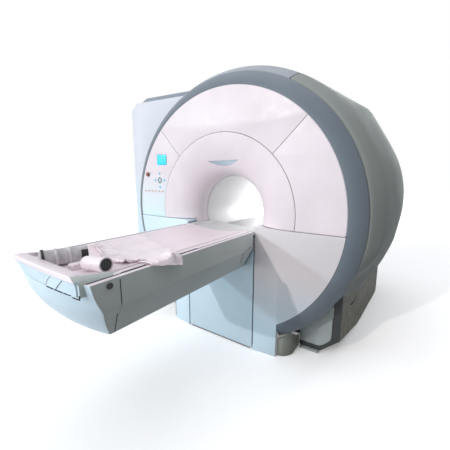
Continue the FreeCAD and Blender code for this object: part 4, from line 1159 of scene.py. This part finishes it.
def build_table(sizes):
    """The table beam, its end covers, the tabletop and the tail tray."""
    beam = dress(refined("table_beam_shell", "table_beam", 0.006, 3), "table", "table_beam")
    # Painted light: the beam's upward faces take the tray's pinker white.
    second_finish(beam, "rim", lambda middle, normal: normal.z > 0.5 and middle.z > 0.94)
    dress(refined("beam_head_shell", "beam_head_cover", 0.004, 2), "table", "beam_head_cover")
    build_foot_cover()
    build_tail()
    dress(refined("patient_board", "tabletop", 0.004, 3, 40.0), "board", "tabletop")
    dress(refined("neck_bridge_shelf", "neck_bridge", 0.003, 2), "bore", "neck_bridge")
    slots = [(0.3060, 0.0035, -1.262, -1.114), (0.3010, 0.0055, -1.112, -0.985), (0.3010, 0.0045, -0.815, -0.634),
             (0.3075, 0.0020, -1.110, -0.060), (-0.3060, 0.0030, -1.262, -0.060)]
    strips = [block((x - half, first, 0.9585), (x + half, last, 0.9600), "strip") for x, half, first, last in slots]
    dress(join("table_edge_grooves", strips), "dark", body="table_lift", slot="strip_dark")
    seams = []
    for side in (-1.0, 1.0):
        for line in (((-1.141, 0.948), (-1.1405, 0.842)), ((-1.151, 0.800), (-1.131, 0.689)),
                     ((-0.070, 0.853), (-0.177, 0.832)), ((-0.177, 0.832), (-0.109, 0.718)),
                     ((-0.150, 0.770), (-0.147, 0.765))):
            seams.append(seam_on_side(line[0], line[1], side))
    dress(join("table_side_joints", seams), "dark", body="table_lift", slot="strip_dark")
    lock = spun("table_lock_disc", [(0.0, 0.0), (0.011, 0.0), (0.013, -0.0015), (0.013, -0.004), (0.0, -0.004)],
                (0, 0, 0))
    lock.data.transform(Matrix.Translation((0.3335, -1.188, 0.935)) @ Matrix.Rotation(math.pi / 2.0, 4, "Z"))
    dress(lock, "black", body="table_lift", slot="strip_dark")


def build_roll(sizes):
    """The rolled mat with its straps."""
    base, direction = Vector((-0.108, -1.252, 0.9805)), Vector((0.055, 0.190, -0.0025))
    length, radius, thick = 0.198, 0.0405, 0.0062
    turns = sizes.roll_turns
    steps = int(turns * 28)
    pitch = (radius - thick - 0.004) / turns
    outer, inner = [], []
    for step in range(steps + 1):
        angle = 2.0 * math.pi * turns * step / steps
        reach = 0.004 + thick + pitch * turns * step / steps
        wave = 1.0 + 0.018 * math.sin(3.0 * angle + 0.7) * step / steps
        for line, radius_here in ((outer, reach), (inner, reach - 0.80 * pitch)):
            line.append(polar(radius_here * wave, angle))
    section = outer + inner[::-1]
    rows = []
    for station in range(13):
        along = length * station / 12.0
        swell = 1.0 + 0.012 * math.sin(station * 1.9) - (0.03 if station in (4, 7) else 0.0)
        rows.append([(x * swell, y * swell, along) for x, y in section])
    roll = placed(shell_of("rolled_mat", rows), base, direction)
    soften(roll, 0.0012, 2, 50.0)
    dress(smooth(roll, 45.0), "mat", "mat_roll")
    patch = [polar(0.0418, math.radians(52.0 + 8.0 * step)) for step in range(10)]
    rows = [[(x * scale, y * scale, along) for x, y in patch]
            + [(x * 0.975 * scale, y * 0.975 * scale, along) for x, y in patch[::-1]]
            for along, scale in ((0.166, 0.99), (0.168, 1.0), (0.194, 1.0), (0.196, 0.99))]
    tab = placed(shell_of("roll_closure_tab", rows), base, direction)
    dress(smooth(tab), "black", body="tabletop_slide", slot="strip_dark")
    for name, finish, start, width, grow in (("roll_strap_near", "strap", 0.060, 0.010, 0.0012),
                                             ("roll_strap_far", "strap", 0.116, 0.008, 0.0012),
                                             ("roll_buckle_band", "black", 0.006, 0.011, 0.0016)):
        band = [(radius + 0.0003, start), (radius + grow, start + 0.001), (radius + grow, start + width - 0.001),
                (radius + 0.0003, start + width), (radius - 0.002, start + width), (radius - 0.002, start)]
        angles = [2.0 * math.pi * step / 56 for step in range(56)]
        rows = [[(*polar(reach, angle), along) for reach, along in band] for angle in angles]
        strap = placed(shell_of(name, rows + [rows[0]], False), base, direction)
        tidy(strap.data)
        dress(smooth(strap, 45.0), finish, body="tabletop_slide", slot="linen" if finish == "strap" else "strip_dark")
        if finish == "strap":
            lay_cloth_map(strap)


def build_items(sizes):
    """The rolled mat, bottle and connector box that lie on the board, and the sheet."""
    build_roll(sizes)
    base, direction = (0.092, -1.147, 0.9735), (0.158, 0.002, 0.0185)
    body = [(0.020, 0.0), (0.027, 0.003), (0.0305, 0.010), (0.0315, 0.020), (0.0315, 0.122), (0.0300, 0.126),
            (0.0300, 0.131), (0.0325, 0.133), (0.0325, 0.156), (0.0310, 0.159), (0.0265, 0.159), (0.0258, 0.151)]
    bottle = round_bar("test_bottle", body, base, direction)
    dress(bottle, "bottle", "phantom_bottle")
    stopper = [(0.012, 0.150), (0.0252, 0.150), (0.0254, 0.1545), (0.024, 0.1560), (0.012, 0.1562)]
    plug = round_bar("test_bottle_stopper", stopper, base, direction)
    dress(plug, "black", body="tabletop_slide", slot="strip_dark")
    dress(refined("plug_box", "contact_box", 0.002, 3), "bottle", "contact_box")
    build_sheet(sizes)


def board_height(x):
    """Height of the dished board's upper face."""
    return BOARD_LOW + BOARD_ARC - math.sqrt(BOARD_ARC ** 2 - x ** 2)


def rumple(x, y):
    """Height of the sheet's folds at a place, from 0 to about 1."""
    warp = noise.noise(Vector((x * 5.0, y * 5.0, 4.0))) * 0.06
    ridges = 1.0 - abs(noise.noise(Vector(((x + warp) * 13.0 + 3.0, (y - warp) * 10.0, 0.3)))) * 2.2
    small = 1.0 - abs(noise.noise(Vector((x * 30.0 - y * 14.0, y * 26.0 + warp * 40.0, 1.7)))) * 2.0
    return max(0.0, 0.72 * max(0.0, ridges) ** 3 + 0.28 * max(0.0, small) ** 2)


def cloth_grid(name, place, across, along):
    """A thin sheet of cloth from a rule that gives its points, with its flat map in metres."""
    points = [place(column / across, row / along) for row in range(along + 1) for column in range(across + 1)]
    faces = []
    for row in range(along):
        for column in range(across):
            first = row * (across + 1) + column
            faces.append((first, first + 1, first + across + 2, first + across + 1))
    mesh = bpy.data.meshes.new(name)
    mesh.from_pydata(points, [], faces)
    layer = mesh.uv_layers.new(name="cloth")
    for loop in mesh.loops:
        spot = mesh.vertices[loop.vertex_index].co
        layer.data[loop.index].uv = (spot.x - spot.z, spot.y)
    area = sum(polygon.area for polygon in mesh.polygons)
    cloth = link(name, mesh)
    thick = cloth.modifiers.new("thickness", "SOLIDIFY")
    thick.thickness = 0.0011
    thick.offset = 1.0
    bake(cloth)
    cloth.data.shade_smooth()
    return cloth, area


FOOT_HEM = ((-0.252, -0.930), (-0.167, -0.950), (0.0, -1.006), (0.100, -1.041), (0.180, -1.030),
            (0.256, -1.000), (0.305, -0.975))
HEAD_HEM = ((-0.252, -0.560), (-0.050, -0.620), (0.148, -0.700), (0.240, -0.758), (0.305, -0.812))


def build_sheet(sizes):
    """The linen sheet on the board: flat in its middle, bunched near the foot and at its edges."""
    left, width = -0.252, 0.513

    def place(u, v):
        x = left + width * u
        foot = between(FOOT_HEM, x, eased) + 0.002 * math.sin(x * 55.0)
        head = between(HEAD_HEM, x, eased) + 0.004 * math.sin(x * 47.0)
        y = foot + (head - foot) * v
        bunch = math.exp(-(v / 0.22) ** 2) * (0.45 + 0.55 * clamped((x + 0.02) / 0.2))
        bunch = max(bunch, 0.45 * math.exp(-((1.0 - v) / 0.12) ** 2) * clamped((x - 0.05) / 0.15))
        height = sizes.sheet_rumple * (0.07 + 1.0 * bunch) * rumple(x, y)
        height += 0.010 * math.exp(-((y - foot - 0.004) / 0.008) ** 2)
        return (x, y, board_height(min(x, 0.258)) + 0.0016 + height)

    sheet, area = cloth_grid("linen_sheet", place, 170, 130)
    dress(sheet, "linen", "bed_sheet")
    build_sheet_corner()


CORNER_HANG = ((-0.985, 0.0), (-0.931, 0.016), (-0.870, 0.034), (-0.845, 0.044), (-0.826, 0.030), (-0.806, 0.004))


def build_sheet_corner():
    """The sheet's folded corner that hangs over the table's edge."""
    start, edge = 0.257, 0.079

    def place(u, v):
        outer = -0.985 + 0.179 * v
        reach = u * (0.086 + between(CORNER_HANG, outer, eased))
        y = outer + (-0.010 + 0.035 * v) * max(0.0, 1.0 - reach / 0.050)
        ripple = abs(0.0035 * math.sin(v * 17.0 + 0.8) + 0.002 * math.sin(v * 43.0))
        peak = 0.026 * math.exp(-((v - 0.72) / 0.10) ** 2)
        if reach < edge:
            lift = peak * math.sin(0.5 * math.pi * reach / edge)
            lift += 0.005 * math.sin(math.pi * reach / edge) * (0.4 + v)
            return (start + reach, y, 0.9648 + ripple + lift)
        fall = reach - edge
        out = 0.004 * (1.0 - math.exp(-fall / 0.004)) + 0.62 * fall + ripple * min(1.0, fall / 0.02) * 0.8
        up = peak * (1.0 - min(1.0, fall / 0.03)) + ripple * (1.0 - min(1.0, fall / 0.01))
        return (start + edge + out, y + 0.30 * fall, 0.9650 + up - fall * 0.70)

    corner, area = cloth_grid("sheet_corner", place, 40, 60)
    dress(corner, "linen", body="tabletop_slide", slot="linen")
    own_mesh(corner)


def build_hidden(sizes):
    """Finishes of the pieces inside the covers."""
    for finish, nodes in (
            ("frame", ("front_frame", "rear_frame", "magnet_feet", "lift_frame", "lift_carriage",
                       "cold_head_turret")),
            ("vessel", ("vacuum_vessel",)), ("resin", ("gradient_coil", "body_coil")), ("bore", ("bore_rails",)),
            ("ram", ("lift_cylinder",)), ("chrome", ("lift_rod",)), ("motor", ("drive_motor",)),
            ("belt", ("drive_belt",)), ("pulley", ("drive_pulley", "idler_pulley"))):
        repaint(finish, *nodes)


# ---------------------------------------------------------------- studio


CAMERA_PLACE = (1.2486, -1.7385, 1.3405)
CAMERA_TURN, CAMERA_DOWN, CAMERA_ROLL = 34.4957, 9.7568, 0.0997
CAMERA_LENS = 21.395
FLOOR_REACH, FLOOR_HEIGHT = 30, -0.001


def direct_view(nodes, links):
    """One where the camera, a mirror or a clear piece looks straight at the surface."""
    paths = nodes.new("ShaderNodeLightPath")
    straight = paths.outputs["Is Camera Ray"]
    for ray in ("Is Transmission Ray", "Is Glossy Ray"):
        either = nodes.new("ShaderNodeMath")
        either.operation = "MAXIMUM"
        links.new(straight, either.inputs[0])
        links.new(paths.outputs[ray], either.inputs[1])
        straight = either.outputs[0]
    return straight


def build_floor():
    """A floor that looks white to the camera and throws back less light than white would."""
    floor = link("studio_floor", bpy.data.meshes.new("studio_floor"))
    floor.data.from_pydata(
        [(x * FLOOR_REACH, y * FLOOR_REACH, FLOOR_HEIGHT) for x, y in ((-1, -1), (1, -1), (1, 1), (-1, 1))],
        [], [(0, 1, 2, 3)])
    recipe = Recipe("studio floor")
    recipe.set(Base_Color=(0.17, 0.172, 0.176), Roughness=0.9)
    seen = recipe.nodes.new("ShaderNodeBsdfDiffuse")
    seen.inputs["Color"].default_value = (1.0, 1.0, 1.0, 1.0)
    glow = recipe.nodes.new("ShaderNodeEmission")
    glow.inputs["Strength"].default_value = 0.24
    pale = recipe.nodes.new("ShaderNodeAddShader")
    recipe.links.new(seen.outputs["BSDF"], pale.inputs[0])
    recipe.links.new(glow.outputs["Emission"], pale.inputs[1])
    blend = recipe.nodes.new("ShaderNodeMixShader")
    recipe.links.new(direct_view(recipe.nodes, recipe.links), blend.inputs["Fac"])
    recipe.links.new(recipe.shader.outputs["BSDF"], blend.inputs[1])
    recipe.links.new(pale.outputs["Shader"], blend.inputs[2])
    recipe.links.new(blend.outputs["Shader"], recipe.nodes["Material Output"].inputs["Surface"])
    floor.data.materials.append(recipe.material)


def build_surround():
    """A surround that looks white to the camera and gives a dim, even light."""
    world = bpy.data.worlds.new("studio surround")
    world.use_nodes = True
    bpy.context.scene.world = world
    nodes, links = world.node_tree.nodes, world.node_tree.links
    fill = nodes["Background"]
    fill.inputs["Color"].default_value = (0.95, 0.98, 1.0, 1.0)
    fill.inputs["Strength"].default_value = 0.20
    white = nodes.new("ShaderNodeBackground")
    white.inputs["Color"].default_value = (1.0, 1.0, 1.0, 1.0)
    blend = nodes.new("ShaderNodeMixShader")
    links.new(direct_view(nodes, links), blend.inputs["Fac"])
    links.new(fill.outputs[0], blend.inputs[1])
    links.new(white.outputs[0], blend.inputs[2])
    links.new(blend.outputs[0], nodes["World Output"].inputs["Surface"])


def build_lamps():
    """Five distant lamps, a low one beside the table's foot and one inside the bore."""
    sun("key_lamp", (0.29, 1.0, -0.453), 0.90, 1.5, (1.0, 0.90, 0.885))
    sun("side_lamp", (0.85, 1.0, -0.42), 0.66, 4.0, (0.80, 0.94, 1.0))
    sun("front_lamp", (0.40, 1.0, -0.25), 0.92, 70.0, (0.98, 0.98, 1.0))
    sun("top_lamp", (0.02, 0.10, -1.0), 1.15, 60.0, (0.930, 0.955, 1.0))
    sun("rear_lamp", (-0.15, -1.0, -0.45), 1.1, 30.0, (0.97, 0.98, 1.0))
    low = bpy.data.lights.new("low_lamp", "AREA")
    low.shape = "RECTANGLE"
    low.size = 3.0
    low.size_y = 0.8
    low.energy = 36.0
    low.color = (0.90, 0.97, 1.0)
    lamp = link("low_lamp", low)
    lamp.location = (-1.2, -4.4, 0.5)
    lamp.rotation_euler = Vector((0.25, 1.0, 0.02)).to_track_quat("-Z", "Y").to_euler()
    lamp.visible_camera = False
    bore = bpy.data.lights.new("bore_lamp", "POINT")
    bore.energy = 12.0
    bore.shadow_soft_size = 0.10
    lamp = link("bore_lamp", bore)
    lamp.location = (0.10, 1.45, 1.12)
    lamp.visible_camera = False


def build_camera():
    """The photograph's viewpoint."""
    camera = bpy.data.cameras.new("camera")
    camera.lens = CAMERA_LENS
    camera.sensor_width = 36.0
    camera.sensor_fit = "AUTO"
    camera.clip_end = 100.0
    holder = link("camera", camera)
    turn = Matrix.Rotation(math.radians(CAMERA_TURN), 4, "Z")
    look = turn @ Matrix.Rotation(math.radians(90.0 - CAMERA_DOWN), 4, "X")
    roll = Matrix.Rotation(math.radians(CAMERA_ROLL), 4, "Z")
    holder.matrix_world = Matrix.Translation(CAMERA_PLACE) @ look @ roll
    bpy.context.scene.camera = holder
    bpy.context.scene.view_settings.view_transform = "Standard"


def sun(name, direction, strength, spread, tint):
    """A soft distant lamp shining along a direction."""
    light = bpy.data.lights.new(name, "SUN")
    light.energy = strength
    light.angle = math.radians(spread)
    light.color = tint
    lamp = link(name, light)
    lamp.rotation_euler = Vector(direction).to_track_quat("-Z", "Y").to_euler()
    lamp.location = (0.0, 0.0, 4.0)


def build_studio():
    """Floor, white surround, lamps and the camera."""
    build_floor()
    build_surround()
    build_lamps()
    build_camera()


# ---------------------------------------------------------------- operators and panel


class SCANNER_OT_funnel(bpy.types.Operator):
    """Build the front funnel, its window and the bore lining"""

    bl_idname = "scanner.funnel"
    bl_label = "Funnel and bore"

    def execute(self, context):
        build_funnel(context.scene.scanner_sizes)
        return {"FINISHED"}


class SCANNER_OT_face(bpy.types.Operator):
    """Build the covers of the round face"""

    bl_idname = "scanner.face"
    bl_label = "Face covers"

    def execute(self, context):
        build_face(context.scene.scanner_sizes)
        return {"FINISHED"}


class SCANNER_OT_ring(bpy.types.Operator):
    """Build the trim ring"""

    bl_idname = "scanner.ring"
    bl_label = "Trim ring"

    def execute(self, context):
        build_ring(context.scene.scanner_sizes)
        return {"FINISHED"}


class SCANNER_OT_barrel(bpy.types.Operator):
    """Build the barrel covers"""

    bl_idname = "scanner.barrel"
    bl_label = "Barrel covers"

    def execute(self, context):
        build_barrel(context.scene.scanner_sizes)
        return {"FINISHED"}


class SCANNER_OT_rear(bpy.types.Operator):
    """Build the rear cover and the rear funnel"""

    bl_idname = "scanner.rear"
    bl_label = "Rear covers"

    def execute(self, context):
        build_rear(context.scene.scanner_sizes)
        return {"FINISHED"}


class SCANNER_OT_wing(bpy.types.Operator):
    """Build the side cabinet"""

    bl_idname = "scanner.wing"
    bl_label = "Side cabinet"

    def execute(self, context):
        build_wing(context.scene.scanner_sizes)
        return {"FINISHED"}


class SCANNER_OT_lower(bpy.types.Operator):
    """Build the lower covers, base covers and feet"""

    bl_idname = "scanner.lower"
    bl_label = "Lower covers"

    def execute(self, context):
        build_lower(context.scene.scanner_sizes)
        return {"FINISHED"}


class SCANNER_OT_controls(bpy.types.Operator):
    """Build the display, keys and stop button"""

    bl_idname = "scanner.controls"
    bl_label = "Controls"

    def execute(self, context):
        build_controls(context.scene.scanner_sizes)
        return {"FINISHED"}


class SCANNER_OT_table(bpy.types.Operator):
    """Build the patient table"""

    bl_idname = "scanner.table"
    bl_label = "Patient table"

    def execute(self, context):
        build_table(context.scene.scanner_sizes)
        return {"FINISHED"}


class SCANNER_OT_items(bpy.types.Operator):
    """Build the mat, bottle, box and sheet on the board"""

    bl_idname = "scanner.items"
    bl_label = "Things on the board"

    def execute(self, context):
        build_items(context.scene.scanner_sizes)
        return {"FINISHED"}


class SCANNER_OT_hidden(bpy.types.Operator):
    """Finish the pieces inside the covers"""

    bl_idname = "scanner.hidden"
    bl_label = "Inner pieces"

    def execute(self, context):
        build_hidden(context.scene.scanner_sizes)
        return {"FINISHED"}


class SCANNER_OT_studio(bpy.types.Operator):
    """Build the floor, lamps and camera"""

    bl_idname = "scanner.studio"
    bl_label = "Studio"

    def execute(self, context):
        build_studio()
        return {"FINISHED"}


OPERATORS = (
    SCANNER_OT_funnel, SCANNER_OT_face, SCANNER_OT_ring, SCANNER_OT_barrel, SCANNER_OT_rear, SCANNER_OT_wing,
    SCANNER_OT_lower, SCANNER_OT_controls, SCANNER_OT_table, SCANNER_OT_items, SCANNER_OT_hidden,
    SCANNER_OT_studio)


class SCANNER_PT_panel(bpy.types.Panel):
    """Sizes, colours and build steps of the scanner"""

    bl_idname = "SCANNER_PT_panel"
    bl_label = "MRI scanner"
    bl_space_type = "VIEW_3D"
    bl_region_type = "UI"
    bl_category = "Scanner"

    def draw(self, context):
        layout = self.layout
        for group in (context.scene.scanner_sizes, context.scene.scanner_colours):
            box = layout.box()
            for name in group.__annotations__:
                box.prop(group, name)
        for operator in OPERATORS:
            layout.operator(operator.bl_idname)


CLASSES = (ScannerSizes, ScannerColours, *OPERATORS, SCANNER_PT_panel)


def register():
    for item in CLASSES:
        bpy.utils.register_class(item)
    bpy.types.Scene.scanner_sizes = PointerProperty(type=ScannerSizes)
    bpy.types.Scene.scanner_colours = PointerProperty(type=ScannerColours)


def unregister():
    del bpy.types.Scene.scanner_colours
    del bpy.types.Scene.scanner_sizes
    for item in reversed(CLASSES):
        bpy.utils.unregister_class(item)


def main():
    """Builds everything in order."""
    register()
    mix_finishes(bpy.context.scene.scanner_colours)
    bpy.ops.scanner.funnel()
    bpy.ops.scanner.face()
    bpy.ops.scanner.ring()
    bpy.ops.scanner.barrel()
    bpy.ops.scanner.rear()
    bpy.ops.scanner.wing()
    bpy.ops.scanner.lower()
    bpy.ops.scanner.controls()
    bpy.ops.scanner.table()
    bpy.ops.scanner.items()
    bpy.ops.scanner.hidden()
    bpy.ops.scanner.studio()


if __name__ == "__main__":
    main()
